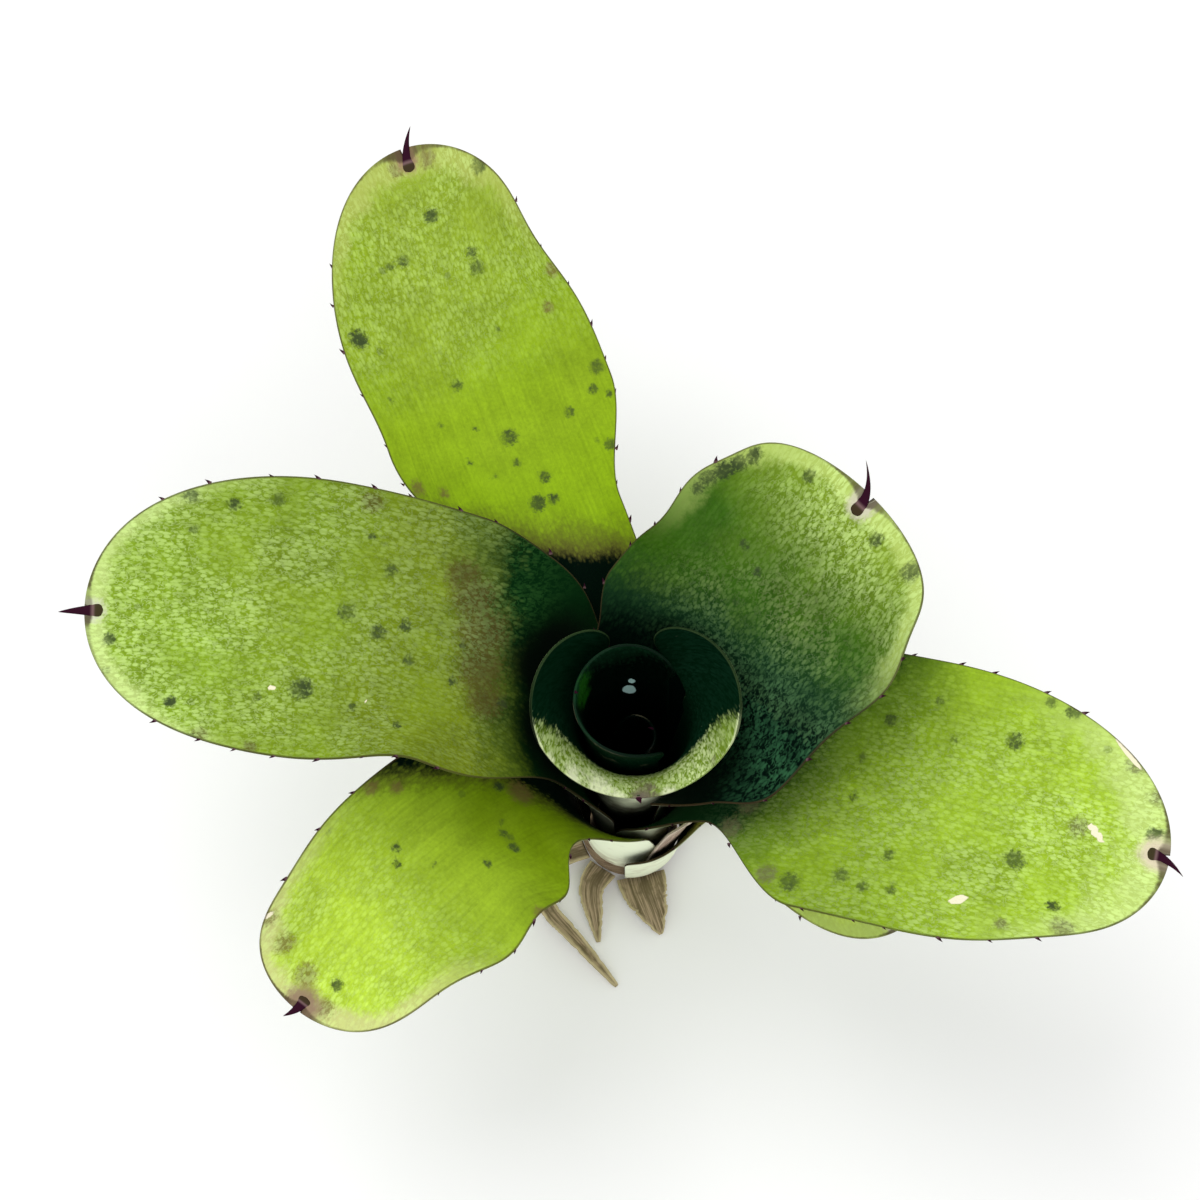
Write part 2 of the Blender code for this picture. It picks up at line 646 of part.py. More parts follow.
# Stand the plant over the origin: the middle of its outline from above goes to the Z axis.
bodies = [item for item in bpy.data.objects if item.type == "MESH"]
reach_x = [vertex.co.x for body in bodies for vertex in body.data.vertices]
reach_y = [vertex.co.y for body in bodies for vertex in body.data.vertices]
middle_x = (min(reach_x) + max(reach_x)) / 2.0
middle_y = (min(reach_y) + max(reach_y)) / 2.0
for body in bodies:
    body.location = (-middle_x, -middle_y, 0.0)
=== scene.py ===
import math
import random

import bpy
import numpy as np
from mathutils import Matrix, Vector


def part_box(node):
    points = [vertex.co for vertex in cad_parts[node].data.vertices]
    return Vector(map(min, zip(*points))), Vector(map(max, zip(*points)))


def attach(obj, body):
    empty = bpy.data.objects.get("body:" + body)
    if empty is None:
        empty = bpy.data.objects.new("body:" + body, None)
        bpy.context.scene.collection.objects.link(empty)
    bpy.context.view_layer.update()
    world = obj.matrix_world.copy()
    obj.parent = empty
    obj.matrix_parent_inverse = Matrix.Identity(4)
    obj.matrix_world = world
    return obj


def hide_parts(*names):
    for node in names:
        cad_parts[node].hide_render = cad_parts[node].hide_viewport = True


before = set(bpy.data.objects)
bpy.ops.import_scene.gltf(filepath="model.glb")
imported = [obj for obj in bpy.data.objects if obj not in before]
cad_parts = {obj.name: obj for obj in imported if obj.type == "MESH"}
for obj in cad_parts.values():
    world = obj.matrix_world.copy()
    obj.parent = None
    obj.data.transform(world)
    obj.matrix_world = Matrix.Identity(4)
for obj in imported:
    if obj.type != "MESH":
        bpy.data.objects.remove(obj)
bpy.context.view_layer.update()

# Stem: the short woody core that every leaf is rooted on, cut flat at its foot when the plant
# was picked. It is brown and fibrous, ringed by the scars of leaves that have dropped, and
# each leaf base grows out of its own step on it.
STEM_FOOT_RADIUS = 9.5
STEM_FOOT_BEVEL = 0.8
STEM_HEAD_RADIUS = 2.4
STEM_HEAD_RISE = 3.5
STEM_SIDES = 72
STEM_STEP_GAP = 0.6
STEM_SEAM = 0.002       # points closer than this are welded into one
STEM_CORNER_SPACING = 0.7
ROOTED = (      # shell of the tube and height of each leaf base, from the lowest up
    (9, 4.0), (7, 6.5), (6, 9.0), (5, 11.5), (4, 14.0), (3, 16.5), (2, 19.0), (1, 21.5),
    (0, 24.0),
)

TUBE_FOOT_RADIUS = 3.0
TUBE_FOOT_STEP = 0.95
TUBE_TOP_HEIGHT = 80.0
TUBE_TOP_RADIUS = (5.6, 10.2, 12.1, 14.0, 15.5, 17.0, 18.5, 20.0, 21.5, 23.0)
TUBE_SWELL = 1.2

stem_low, stem_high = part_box("stem")
STEM_AXIS = ((stem_low[0] + stem_high[0]) / 2.0, (stem_low[1] + stem_high[1]) / 2.0, 0.0)


def tube_radius(layer, height):
    """Radius of one shell of the leaf tube; layer 0 is the innermost."""
    foot = TUBE_FOOT_RADIUS + TUBE_FOOT_STEP * layer
    share = np.clip(np.asarray(height) / TUBE_TOP_HEIGHT, 0.0, 1.3) ** TUBE_SWELL
    return foot + (TUBE_TOP_RADIUS[layer] - foot) * share


def shown(sockets, name):
    """The socket of that name which the node's settings leave in use."""
    return next(socket for socket in sockets if socket.name == name and socket.enabled)


def joined(tree, socket, value):
    """Give a socket its value: a link from another node, or a plain number."""
    if isinstance(value, Flow):
        tree.links.new(value.socket, socket)
    else:
        socket.default_value = value


def add_node(tree, kind, given=None, **settings):
    """Add a node, set it up, and give its inputs by name or by number."""
    node = tree.nodes.new(kind)
    for name, value in settings.items():
        setattr(node, name, value)
    for name, value in (given or {}).items():
        socket = node.inputs[name] if isinstance(name, int) else shown(node.inputs, name)
        joined(tree, socket, value)
    return node


def flow(tree, kind, given=None, output=0, **settings):
    """Add a node, and go on with one of its outputs, by number or by name."""
    outputs = add_node(tree, kind, given, **settings).outputs
    return Flow(tree, outputs[output] if isinstance(output, int) else shown(outputs, output))


class Flow:
    """A value that flows through a node tree; sums on it add the nodes that work them out."""

    def __init__(self, tree, socket):
        self.tree = tree
        self.socket = socket

    @property
    def is_way(self):
        return self.socket.type == "VECTOR"

    def work(self, operation, first, second=None, clamp=False):
        given = {0: first} if second is None else {0: first, 1: second}
        return flow(self.tree, "ShaderNodeMath", given, operation=operation, use_clamp=clamp)

    def way(self, operation, second=None, scale=None):
        given = {0: self}
        if second is not None:
            given[1] = second
        if scale is not None:
            given[3] = scale
        return flow(self.tree, "ShaderNodeVectorMath", given, operation=operation)

    def __add__(self, other):
        return self.way("ADD", other) if self.is_way else self.work("ADD", self, other)

    def __sub__(self, other):
        return self.way("SUBTRACT", other) if self.is_way else self.work("SUBTRACT", self, other)

    def __rsub__(self, other):
        return self.work("SUBTRACT", other, self)

    def __mul__(self, other):
        if self.is_way:
            return self.way("SCALE", scale=other)
        return self.work("MULTIPLY", self, other)

    def __truediv__(self, other):
        return self.work("DIVIDE", self, other)

    def __pow__(self, power):
        return self.work("POWER", self, power)

    def __abs__(self):
        return self.work("ABSOLUTE", self)

    def sine(self):
        return self.work("SINE", self)

    def cosine(self):
        return self.work("COSINE", self)

    def least(self, other):
        return self.work("MINIMUM", self, other)

    def most(self, other):
        return self.work("MAXIMUM", self, other)

    def below(self, other):
        return self.work("LESS_THAN", self, other)

    def held(self):
        """The value kept between nought and one."""
        return self.work("ADD", self, 0.0, clamp=True)

    def ramp(self, start, end, low=0.0, high=1.0, smooth=True):
        """Goes from low at start to high at end, and stays there."""
        given = {"Value": self, "From Min": start, "From Max": end, "To Min": low, "To Max": high}
        kind = "SMOOTHSTEP" if smooth else "LINEAR"
        return flow(self.tree, "ShaderNodeMapRange", given, interpolation_type=kind)

    def parts(self):
        node = add_node(self.tree, "ShaderNodeSeparateXYZ", {0: self})
        return [Flow(self.tree, socket) for socket in node.outputs]

    def stretched(self, amounts):
        return self.way("MULTIPLY", amounts)


def way_of(tree, x, y, z):
    return flow(tree, "ShaderNodeCombineXYZ", {"X": x, "Y": y, "Z": z})


def grain(tree, place, scale, detail=2.0, rough=0.5, bend=0.0):
    """Soft random values from nought to one, in grains of about 1 / scale."""
    given = {"Vector": place, "Scale": scale, "Detail": detail, "Roughness": rough}
    return flow(tree, "ShaderNodeTexNoise", {**given, "Distortion": bend})


def here(tree):
    """Where each point of a shape lies."""
    return flow(tree, "GeometryNodeInputPosition")


def new_shape(name, sizes, start_name):
    """An empty node tree for a shape, with a named input for each of its sizes."""
    tree = bpy.data.node_groups.new(name, "GeometryNodeTree")
    face = tree.interface
    face.new_socket(name=start_name, in_out="INPUT", socket_type="NodeSocketGeometry")
    for size_name, size in sizes.items():
        kind = "NodeSocketInt" if isinstance(size, int) else "NodeSocketFloat"
        face.new_socket(name=size_name, in_out="INPUT", socket_type=kind).default_value = size
    face.new_socket(name="Finish", in_out="INPUT", socket_type="NodeSocketMaterial")
    face.new_socket(name="Shape", in_out="OUTPUT", socket_type="NodeSocketGeometry")
    given = tree.nodes.new("NodeGroupInput")
    return tree, {socket.name: Flow(tree, socket) for socket in given.outputs if socket.name}


def kept(tree, shape, name, value):
    """Write a value on the points of a shape, for its finish to read."""
    kind = "FLOAT_VECTOR" if value.is_way else "FLOAT"
    given = {"Geometry": shape, "Name": name, "Value": value}
    return flow(tree, "GeometryNodeStoreNamedAttribute", given, data_type=kind, domain="POINT")


def carried(tree, name, kind="FLOAT"):
    """A value that the points of a shape already carry."""
    given = {"Name": name}
    return flow(tree, "GeometryNodeInputNamedAttribute", given, "Attribute", data_type=kind)


def sheet_of_points(tree, around, along):
    """A flat net of points to be laid on a shape, and its two shares from nought to one."""
    given = {"Size X": 1.0, "Size Y": 1.0, "Vertices X": around, "Vertices Y": along}
    net = flow(tree, "GeometryNodeMeshGrid", given)
    x, y, _ = here(tree).parts()
    net = kept(tree, net, "around", x + 0.5)
    net = kept(tree, net, "up", y + 0.5)
    return net, carried(tree, "around"), carried(tree, "up")


def moved_to(tree, shape, place=None, by=None):
    given = {"Geometry": shape}
    if place is not None:
        given["Position"] = place
    if by is not None:
        given["Offset"] = by
    return flow(tree, "GeometryNodeSetPosition", given)


def welded(tree, shape, gap):
    return flow(tree, "GeometryNodeMergeByDistance", {"Geometry": shape, "Distance": gap})


def finished(tree, shape, size):
    """Bring a shape from millimetres to metres, make it real, and give it its finish."""
    given = {"Geometry": shape, "Scale": (0.001, 0.001, 0.001)}
    small = flow(tree, "GeometryNodeTransform", given)
    real = flow(tree, "GeometryNodeRealizeInstances", {0: small})
    painted = flow(tree, "GeometryNodeSetMaterial", {0: real, "Material": size["Finish"]})
    leaving = tree.nodes.new("NodeGroupOutput")
    tree.links.new(painted.socket, leaving.inputs[0])


def grown(name, points, edges, carries, tree, sizes, finish):
    """Grow one piece from its line of points with a shape tree, and keep the plain mesh."""
    line = bpy.data.meshes.new(name + "_line")
    line.from_pydata([tuple(map(float, point)) for point in points], edges, [])
    for carry_name, values in carries.items():
        values = np.asarray(values, np.float32)
        kind, field = ("FLOAT_VECTOR", "vector") if values.ndim == 2 else ("FLOAT", "value")
        line.attributes.new(carry_name, kind, "POINT").data.foreach_set(field, values.ravel())
    piece = bpy.data.objects.new(name, line)
    bpy.context.scene.collection.objects.link(piece)
    modifier = piece.modifiers.new("shape", "NODES")
    modifier.node_group = tree
    for socket in tree.interface.items_tree:
        if socket.in_out == "INPUT" and socket.name in sizes:
            modifier[socket.identifier] = sizes[socket.name]
        if socket.in_out == "INPUT" and socket.name == "Finish":
            modifier[socket.identifier] = finish
    graph = bpy.context.evaluated_depsgraph_get()
    graph.update()
    mesh = bpy.data.meshes.new_from_object(piece.evaluated_get(graph), depsgraph=graph)
    piece.modifiers.clear()
    piece.data = mesh
    mesh.name = name
    bpy.data.meshes.remove(line)
    mesh.shade_smooth()
    places = np.zeros(len(mesh.vertices) * 3)
    mesh.vertices.foreach_get("co", places)
    places = places.reshape(-1, 3) + np.array(STEM_AXIS)
    mesh.vertices.foreach_set("co", places.ravel())
    mesh.update()
    return piece


def new_finish(name, roughness, specular=0.5):
    """A new material, with its node tree and its shader."""
    material = bpy.data.materials.new(name)
    material.use_nodes = True
    tree = material.node_tree
    shader = tree.nodes["Principled BSDF"]
    shader.inputs["Roughness"].default_value = roughness
    shader.inputs["Specular IOR Level"].default_value = specular
    return material, tree, shader


def read(tree, name, output="Fac"):
    return flow(tree, "ShaderNodeAttribute", output=output, attribute_name=name)


def paint(colour):
    return colour if isinstance(colour, Flow) else (*colour, 1.0)


def mixed(tree, share, first, second):
    given = {"Factor": share, "A": paint(first), "B": paint(second)}
    return flow(tree, "ShaderNodeMix", given, "Result", data_type="RGBA")


def raised(tree, shader, height, depth):
    """Relief from a height between nought and one; depth is in metres."""
    bump = add_node(tree, "ShaderNodeBump", {"Height": height, "Distance": depth, "Strength": 1.0})
    tree.links.new(bump.outputs["Normal"], shader.inputs["Normal"])


def stem_shape():
    sizes = {"Sides": STEM_SIDES, "Rows": 2, "Fibre height": 0.25}
    tree, size = new_shape("stem_shape", sizes, "Outline")
    net, around, up = sheet_of_points(tree, size["Sides"] + 1, size["Rows"])
    row = up * (size["Rows"] - 1.0)
    given = {"Geometry": size["Outline"], "Index": row + 0.25, "Value": here(tree)}
    outline = flow(tree, "GeometryNodeSampleIndex", given, "Value", data_type="FLOAT_VECTOR")
    radius, _, height = outline.parts()
    turn = around * (2.0 * math.pi)
    fibre_place = way_of(tree, turn.cosine() * 14.0, turn.sine() * 14.0, height * 0.12)
    fibres = grain(tree, fibre_place, 1.0)
    edge = radius.ramp(STEM_FOOT_RADIUS - 0.1, STEM_FOOT_RADIUS, 1.0, 0.35)
    radius = radius - radius.ramp(0.0, 2.0) * fibres.ramp(0.5, 0.75) * size["Fibre height"] * edge
    net = moved_to(tree, net, way_of(tree, turn.cosine() * radius, turn.sine() * radius, height))
    net = kept(tree, net, "place", way_of(tree, turn * radius, height, turn * 0.0))
    finished(tree, welded(tree, net, STEM_SEAM), size)
    return tree


def stem_outline():
    """The stem's half outline: flat foot, a step under each leaf base, and a blunt head."""
    corners = [(0.0, 0.0), (STEM_FOOT_RADIUS, 0.0)]
    corners.append((STEM_FOOT_RADIUS + STEM_FOOT_BEVEL, STEM_FOOT_BEVEL))
    for layer, height in ROOTED:
        corners.append((float(tube_radius(layer, height)) - STEM_STEP_GAP, height - 0.5))
    corners.append((STEM_HEAD_RADIUS, ROOTED[-1][1] + STEM_HEAD_RISE))
    corners.append((0.0, ROOTED[-1][1] + STEM_HEAD_RISE))
    points = [(corners[0][0], 0.0, corners[0][1])]
    for (r0, z0), (r1, z1) in zip(corners, corners[1:]):
        steps = max(1, round(math.hypot(r1 - r0, z1 - z0) / STEM_CORNER_SPACING))
        for step in range(1, steps + 1):
            share = step / steps
            points.append((r0 + (r1 - r0) * share, 0.0, z0 + (z1 - z0) * share))
    return points


stem_finish, tree, shader = new_finish("stem_finish", 0.85, 0.25)
place = read(tree, "place", "Vector")
fibre = grain(tree, place.stretched((3.0, 0.25, 1.0)), 1.0, 4.0, 0.6)
rings = grain(tree, place.stretched((0.05, 1.6, 1.0)), 1.0, 2.0)
bark = mixed(tree, fibre.ramp(0.35, 0.7), (0.14, 0.085, 0.045), (0.42, 0.32, 0.2))
bark = mixed(tree, rings.ramp(0.55, 0.68) * 0.7, bark, (0.06, 0.038, 0.024))
joined(tree, shader.inputs["Base Color"], bark)
raised(tree, shader, fibre + rings * 0.6, 0.0004)

outline = stem_outline()
stem = grown("stem_wood_core", outline, [], {}, stem_shape(), {"Rows": len(outline)}, stem_finish)
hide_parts("stem")
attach(stem, "root")

# Leaf low right: the oldest living leaf, short and smooth, mostly under the right hand leaf.
# Like every leaf it is one leathery strap whose base is folded round the stem, and whose
# blade is waxy above, paler below and set along both margins with small dark teeth.
LEAF_HABIT = {
    "layer": 5,             # shell of the tube the base lies on, 0 is the innermost
    "root_height": 6.0,     # where the base leaves the stem
    "heading": 0.0,         # compass direction of the midrib, anticlockwise from +X
    "clasp_height": 44.0,   # where the blade starts to leave the tube
    "blade": 110.0,         # length of the blade along its midrib
    "bend": 45.0,           # length over which it turns outwards
    "climb": 25.0,          # slope of the midrib after the bend
    "tip_climb": 5.0,       # slope of the midrib at the tip
    "sweep": 0.0,           # sideways turn of the midrib from base to tip
    "roll": 0.0,            # twist of the blade about its midrib
    "sheath": 46.0,         # width of the clasping base
    "wrap": 88.0,           # half angle the base may reach round the tube
    "offset": 0.0,          # how far the base is set to one side of the midrib
    "neck": 30.0,           # width at the neck
    "neck_at": 14.0,        # distance of the neck past the clasp height
    "width": 56.0,          # greatest width
    "widest_at": 50.0,
    "shoulder": 10.0,       # where the base starts to narrow, before the clasp height
    "rounding": 44.0,       # length of the rounded end
    "blunt": 2.2,           # a higher number makes a squarer end
    "hold": 8.0,            # the section starts to flatten this far before the clasp height
    "flatten": 35.0,        # and is flat this far past it
    "channel": 24.0,        # half angle of the shallow channel across the blade
    "notch": 0.8,           # depth of the dent behind the tip spine
    "waves": (),            # margin waves: (distance, length, height, side, outward)
    "teeth": 8.5,           # spacing of the marginal teeth, 0 for none
    "spine": 6.5,           # length of the tip spine
    "spine_lift": 1.0,      # how far its point turns up
    "spine_hook": 0.5,      # how far its point turns sideways
    "spine_width": 2.4,
    "rim": False,           # the end is a wide rim and not a pointed tip
    "rows": 190,            # points along the blade
    "ring": 112,            # and round it
    "pucker": 0.35,         # height of the soft unevenness of the blade
    "seed": 1,
}
RIM_SHARE = 0.88
TOOTH_WIDTH = 0.95
TOOTH_LENGTH = 1.15
TOOTH_LEAN = 0.7
TOOTH_SINK = 0.25       # how deep the foot of a tooth sits in the margin
TOOTH_SCALE = (0.7, 1.1)
SPINE_RING = 16
SPINE_ROWS = 26
SPINE_ROOT = 0.35       # share of the spine that is sunk in the blade
LEAF_SEAM = 0.0008      # points closer than this are welded into one
EDGE_ROUND = 0.3        # how far in from its edge a leaf is rounded off
FACE_GAP = 40.0         # how far apart the patterns of the two faces lie


def eased(value):
    value = np.clip(value, 0.0, 1.0)
    return value * value * (3.0 - 2.0 * value)


def midrib_line(leaf):
    """Follow the midrib up its tube, round the bend and out along the blade."""
    heights = np.linspace(leaf["root_height"], leaf["clasp_height"], 80)
    radii = tube_radius(leaf["layer"], heights)
    steps = np.hypot(np.diff(radii), np.diff(heights))
    base_along = np.concatenate([[0.0], np.cumsum(steps)])
    clasp = base_along[-1]
    base_slope = np.arctan2(np.gradient(heights), np.gradient(radii))
    out = np.linspace(0.0, leaf["blade"] + 8.0, 300)
    climb = math.radians(leaf["climb"])
    tip_climb = math.radians(leaf["tip_climb"])
    slope = base_slope[-1] + (climb - base_slope[-1]) * eased(out / leaf["bend"])
    fade_from = 0.35 * leaf["bend"]
    fade = (out - fade_from) / (leaf["blade"] - fade_from)
    slope = slope + (tip_climb - climb) * eased(fade)
    middle = (slope[1:] + slope[:-1]) / 2.0
    lengths = np.diff(out)
    blade_radii = radii[-1] + np.cumsum(np.cos(middle) * lengths)
    blade_heights = heights[-1] + np.cumsum(np.sin(middle) * lengths)
    along = np.concatenate([base_along, clasp + out[1:]])
    radius = np.concatenate([radii, blade_radii])
    height = np.concatenate([heights, blade_heights])
    slopes = np.concatenate([base_slope, slope[1:]])
    turn = math.radians(leaf["sweep"]) * eased((along - clasp) / leaf["blade"])
    heading = math.radians(leaf["heading"]) + turn
    middle_heading = (heading[1:] + heading[:-1]) / 2.0
    run = np.diff(radius)
    x = np.concatenate([[0.0], np.cumsum(run * np.cos(middle_heading))])
    y = np.concatenate([[0.0], np.cumsum(run * np.sin(middle_heading))])
    x = x + radius[0] * math.cos(heading[0])
    y = y + radius[0] * math.sin(heading[0])

    past = along - clasp
    hug = 1.0 - eased((past + leaf["hold"]) / (leaf["flatten"] + leaf["hold"]))
    lean = (1.0 - hug) * (math.pi / 2.0 - slopes)
    channel = math.radians(leaf["channel"]) / (leaf["width"] / 2.0)
    side = np.stack([-np.sin(heading), np.cos(heading), 0.0 * heading], axis=-1)
    inward = -np.cos(lean)
    deep = np.stack([np.cos(heading) * inward, np.sin(heading) * inward, np.sin(lean)], axis=-1)
    roll = math.radians(leaf["roll"]) * eased(past / leaf["blade"])
    cos_roll = np.cos(roll)[:, None]
    sin_roll = np.sin(roll)[:, None]
    carries = {
        "radius": radius,
        "hug": hug,
        "bending": hug / np.maximum(radius, 1.0) + (1.0 - hug) * channel,
        "side_way": side * cos_roll + deep * sin_roll,
        "deep_way": deep * cos_roll - side * sin_roll,
        "wave_right": np.zeros((len(along), 3)),
        "wave_left": np.zeros((len(along), 3)),
    }
    for distance, length, wave_height, wave_side, outward in leaf["waves"]:
        share = np.exp(-(((past - distance) / length) ** 2))
        wave = np.stack([wave_side * outward * share, wave_height * share, 0.0 * share], axis=-1)
        carries["wave_right" if wave_side > 0.0 else "wave_left"] += wave
    return np.stack([x, y, height], axis=-1), carries, clasp


def tooth_places(leaf):
    """Distances of the marginal teeth past the clasp height, each with its skew."""
    chance = random.Random(leaf["seed"])
    round_start = leaf["blade"] - leaf["rounding"]
    last_tooth = round_start + 0.72 * leaf["rounding"]
    if leaf["rim"]:
        last_tooth = min(last_tooth, round_start + TOOTH_WIDTH / 2.0)
    places = []
    distance = 6.0
    while leaf["teeth"] > 0.0 and distance < last_tooth:
        places.append((distance, chance.uniform(-1.3, 1.3)))
        distance += leaf["teeth"] * chance.uniform(0.85, 1.15)
    return places


def half_width(size, nominal, radius):
    """Half the width of a leaf at a distance along it from its root."""
    past = nominal - size["Clasp"]
    limit = size["Wrap"] * radius + past.ramp(-5.0, 20.0) * 100.0
    sheath = (size["Sheath"] / 2.0).least(limit)
    neck = size["Neck"] / 2.0
    below = sheath + (neck - sheath) * past.ramp(0.0 - size["Shoulder"], size["Neck at"])
    above = neck + (size["Width"] / 2.0 - neck) * past.ramp(size["Neck at"], size["Widest at"])
    width = above + (below.least(limit) - above) * past.below(size["Neck at"])
    return width * (1.0 - rounded_end(size, nominal)).most(0.0) ** 0.5


def rounded_end(size, nominal):
    """Nought up to the start of the rounded end, and one at the outline of the tip."""
    start = size["Clasp"] + size["Blade"] - size["Rounding"]
    return nominal.ramp(start, start + size["Rounding"], smooth=False) ** size["Blunt"]


def blade_end(size):
    """How far from its root the net of a blade ends, under the foot of the tip spine."""
    round_start = size["Clasp"] + size["Blade"] - size["Rounding"]
    return round_start + size["Rounding"] * size["End turn"].sine()


def blade_point(tree, size, midrib, across, nominal, skew):
    """Where a point of the blade lies: out along the midrib, then round the section."""

    def on_midrib(name, distance, kind="FLOAT"):
        given = {"Curves": midrib, "Length": distance, "Value": carried(tree, name, kind)}
        node = add_node(tree, "GeometryNodeSampleCurve", given, mode="LENGTH", data_type=kind)
        return Flow(tree, shown(node.outputs, "Value")), Flow(tree, node.outputs["Position"])

    tip = size["Clasp"] + size["Blade"]
    near_tip = nominal.ramp(tip - size["Rounding"], tip)
    along = nominal + skew + size["Notch"] * near_tip * abs(across) ** 1.5
    width = half_width(size, nominal, on_midrib("radius", nominal)[0])
    hug = on_midrib("hug", along)[0]
    bending = on_midrib("bending", along)[0]
    side_way, centre = on_midrib("side_way", along, "FLOAT_VECTOR")
    deep_way = on_midrib("deep_way", along, "FLOAT_VECTOR")[0]
    angle = (across * width + size["Offset"] * hug) * bending
    right_wave = on_midrib("wave_right", along, "FLOAT_VECTOR")[0] * across.held() ** 2.0
    left_wave = on_midrib("wave_left", along, "FLOAT_VECTOR")[0] * (0.0 - across).held() ** 2.0
    outward, lift, _ = (right_wave + left_wave).parts()
    side = angle.sine() / bending + outward
    depth = (1.0 - angle.cosine()) / bending + lift
    return centre + side_way * side + deep_way * depth, width


def fixed(tree, value):
    node = tree.nodes.new("ShaderNodeValue")
    node.outputs[0].default_value = value
    return Flow(tree, node.outputs[0])


def blade_net(tree, size, midrib):
    """The blade and sheath: a net of points wrapped round both faces, closed at its ends."""
    net, around, up = sheet_of_points(tree, size["Ring"] + 1, size["Rows"])
    net = flow(tree, "GeometryNodeFlipFaces", {"Mesh": net})
    turn = around * (2.0 * math.pi)
    across = 0.0 - turn.cosine()
    face = (turn.sine() * 8.0).most(-1.0).least(1.0)
    base, end = size["Base share"], size["End share"]
    straight = size["Blade"] - size["Rounding"]
    nominal = up.ramp(0.0, base, 0.0, size["Clasp"], smooth=False)
    nominal = nominal + up.ramp(base, 1.0 - end, 0.0, straight, smooth=False)
    end_turn = up.ramp(1.0 - end, 1.0, 0.0, size["End turn"], smooth=False)
    nominal = nominal + size["Rounding"] * end_turn.sine()
    net = kept(tree, net, "nominal", nominal)
    nominal = carried(tree, "nominal")
    point, width = blade_point(tree, size, midrib, across, nominal, fixed(tree, 0.0))
    past = nominal - size["Clasp"]
    net = kept(tree, net, "across", across)
    net = kept(tree, net, "past", past)
    net = kept(tree, net, "face", face)
    net = kept(tree, net, "place", way_of(tree, across * width, past, face * FACE_GAP))
    end_curve = rounded_end(size, nominal)
    open_width = width / (1.0 - end_curve).most(0.001) ** 0.5
    share = (across * width / open_width.most(0.01)) ** 2.0
    net = kept(tree, net, "margin", (1.0 - end_curve - share).most(0.0) * open_width * 0.5)
    net = moved_to(tree, net, point)

    fullness = past.ramp(0.0, 20.0)
    tip = size["Clasp"] + size["Blade"]
    fullness = fullness * (1.0 - nominal.ramp(tip - size["Rounding"], tip) * 0.6)
    edge, middle = size["Margin thickness"], size["Middle thickness"]
    thick = edge + (middle - edge) * fullness * (1.0 - across * across)
    rim = (abs(across) * width - (width - EDGE_ROUND)) / EDGE_ROUND
    rim = rim.held().most(((nominal - (blade_end(size) - EDGE_ROUND)) / EDGE_ROUND).held())
    rim = rim.most(1.0 - (nominal / EDGE_ROUND).held())
    thick = thick * (1.0 - rim * rim).most(0.0) ** 0.5
    normal = flow(tree, "GeometryNodeInputNormal")
    place = way_of(tree, across * width, past, fixed(tree, 0.0))
    pucker = grain(tree, place.stretched((0.11, 0.055, 1.0)), 1.0, 1.0) - 0.5
    ridges = grain(tree, place.stretched((0.42, 0.02, 1.0)), 1.0, 0.0) - 0.5
    inside = (1.0 - across * across) * past.ramp(5.0, 30.0) * (1.0 - end_curve)
    relief = (pucker * 2.0 + ridges) * size["Pucker"] * inside * face
    net = moved_to(tree, net, by=normal * (thick * 0.5 + relief))
    return welded(tree, net, LEAF_SEAM)


def tooth_net(tree, size, midrib, points):
    """Marginal teeth: small bent horns set on the margin, leaning towards the tip."""
    side, distance, skew = (carried(tree, name) for name in ("side", "distance", "skew"))
    nominal = size["Clasp"] + distance
    foot = blade_point(tree, size, midrib, side, nominal, skew * side)[0]
    inner = blade_point(tree, size, midrib, side * 0.94, nominal, skew * side)[0]
    ahead = blade_point(tree, size, midrib, side, nominal + 0.6, skew * side)[0]
    outward = (foot - inner).way("NORMALIZE")
    forward = (ahead - foot).way("NORMALIZE")
    aim = outward + forward * size["Tooth lean"]
    points = kept(tree, points, "aim", aim.way("NORMALIZE"))
    points = kept(tree, points, "forward", forward)
    points = moved_to(tree, points, foot - outward * TOOTH_SINK)
    given = {"Vertices": 8, "Side Segments": 5, "Radius Top": 0.0, "Radius Bottom": 0.5}
    cone = flow(tree, "GeometryNodeMeshCone", {**given, "Depth": 1.0})
    x, y, z = here(tree).parts()
    horn = kept(tree, cone, "horn", z.ramp(0.0, 1.0, 0.25, 1.0))
    length = size["Tooth length"] + TOOTH_SINK
    bent = way_of(tree, x * size["Tooth width"] + z * z * 0.4, y * 0.55, z * length)
    horn = moved_to(tree, horn, bent)
    axes = ("Primary Axis", "aim"), ("Secondary Axis", "forward")
    given = {axis: carried(tree, name, "FLOAT_VECTOR") for axis, name in axes}
    kind = "FunctionNodeAxesToRotation"
    turn = flow(tree, kind, given, primary_axis="Z", secondary_axis="X")
    given = {"Min": TOOTH_SCALE[0], "Max": TOOTH_SCALE[1], "Seed": size["Seed"]}
    scale = flow(tree, "FunctionNodeRandomValue", given, "Value", data_type="FLOAT")
    given = {"Points": points, "Instance": horn, "Rotation": turn}
    given["Scale"] = way_of(tree, scale, scale, scale)
    return flow(tree, "GeometryNodeInstanceOnPoints", given)


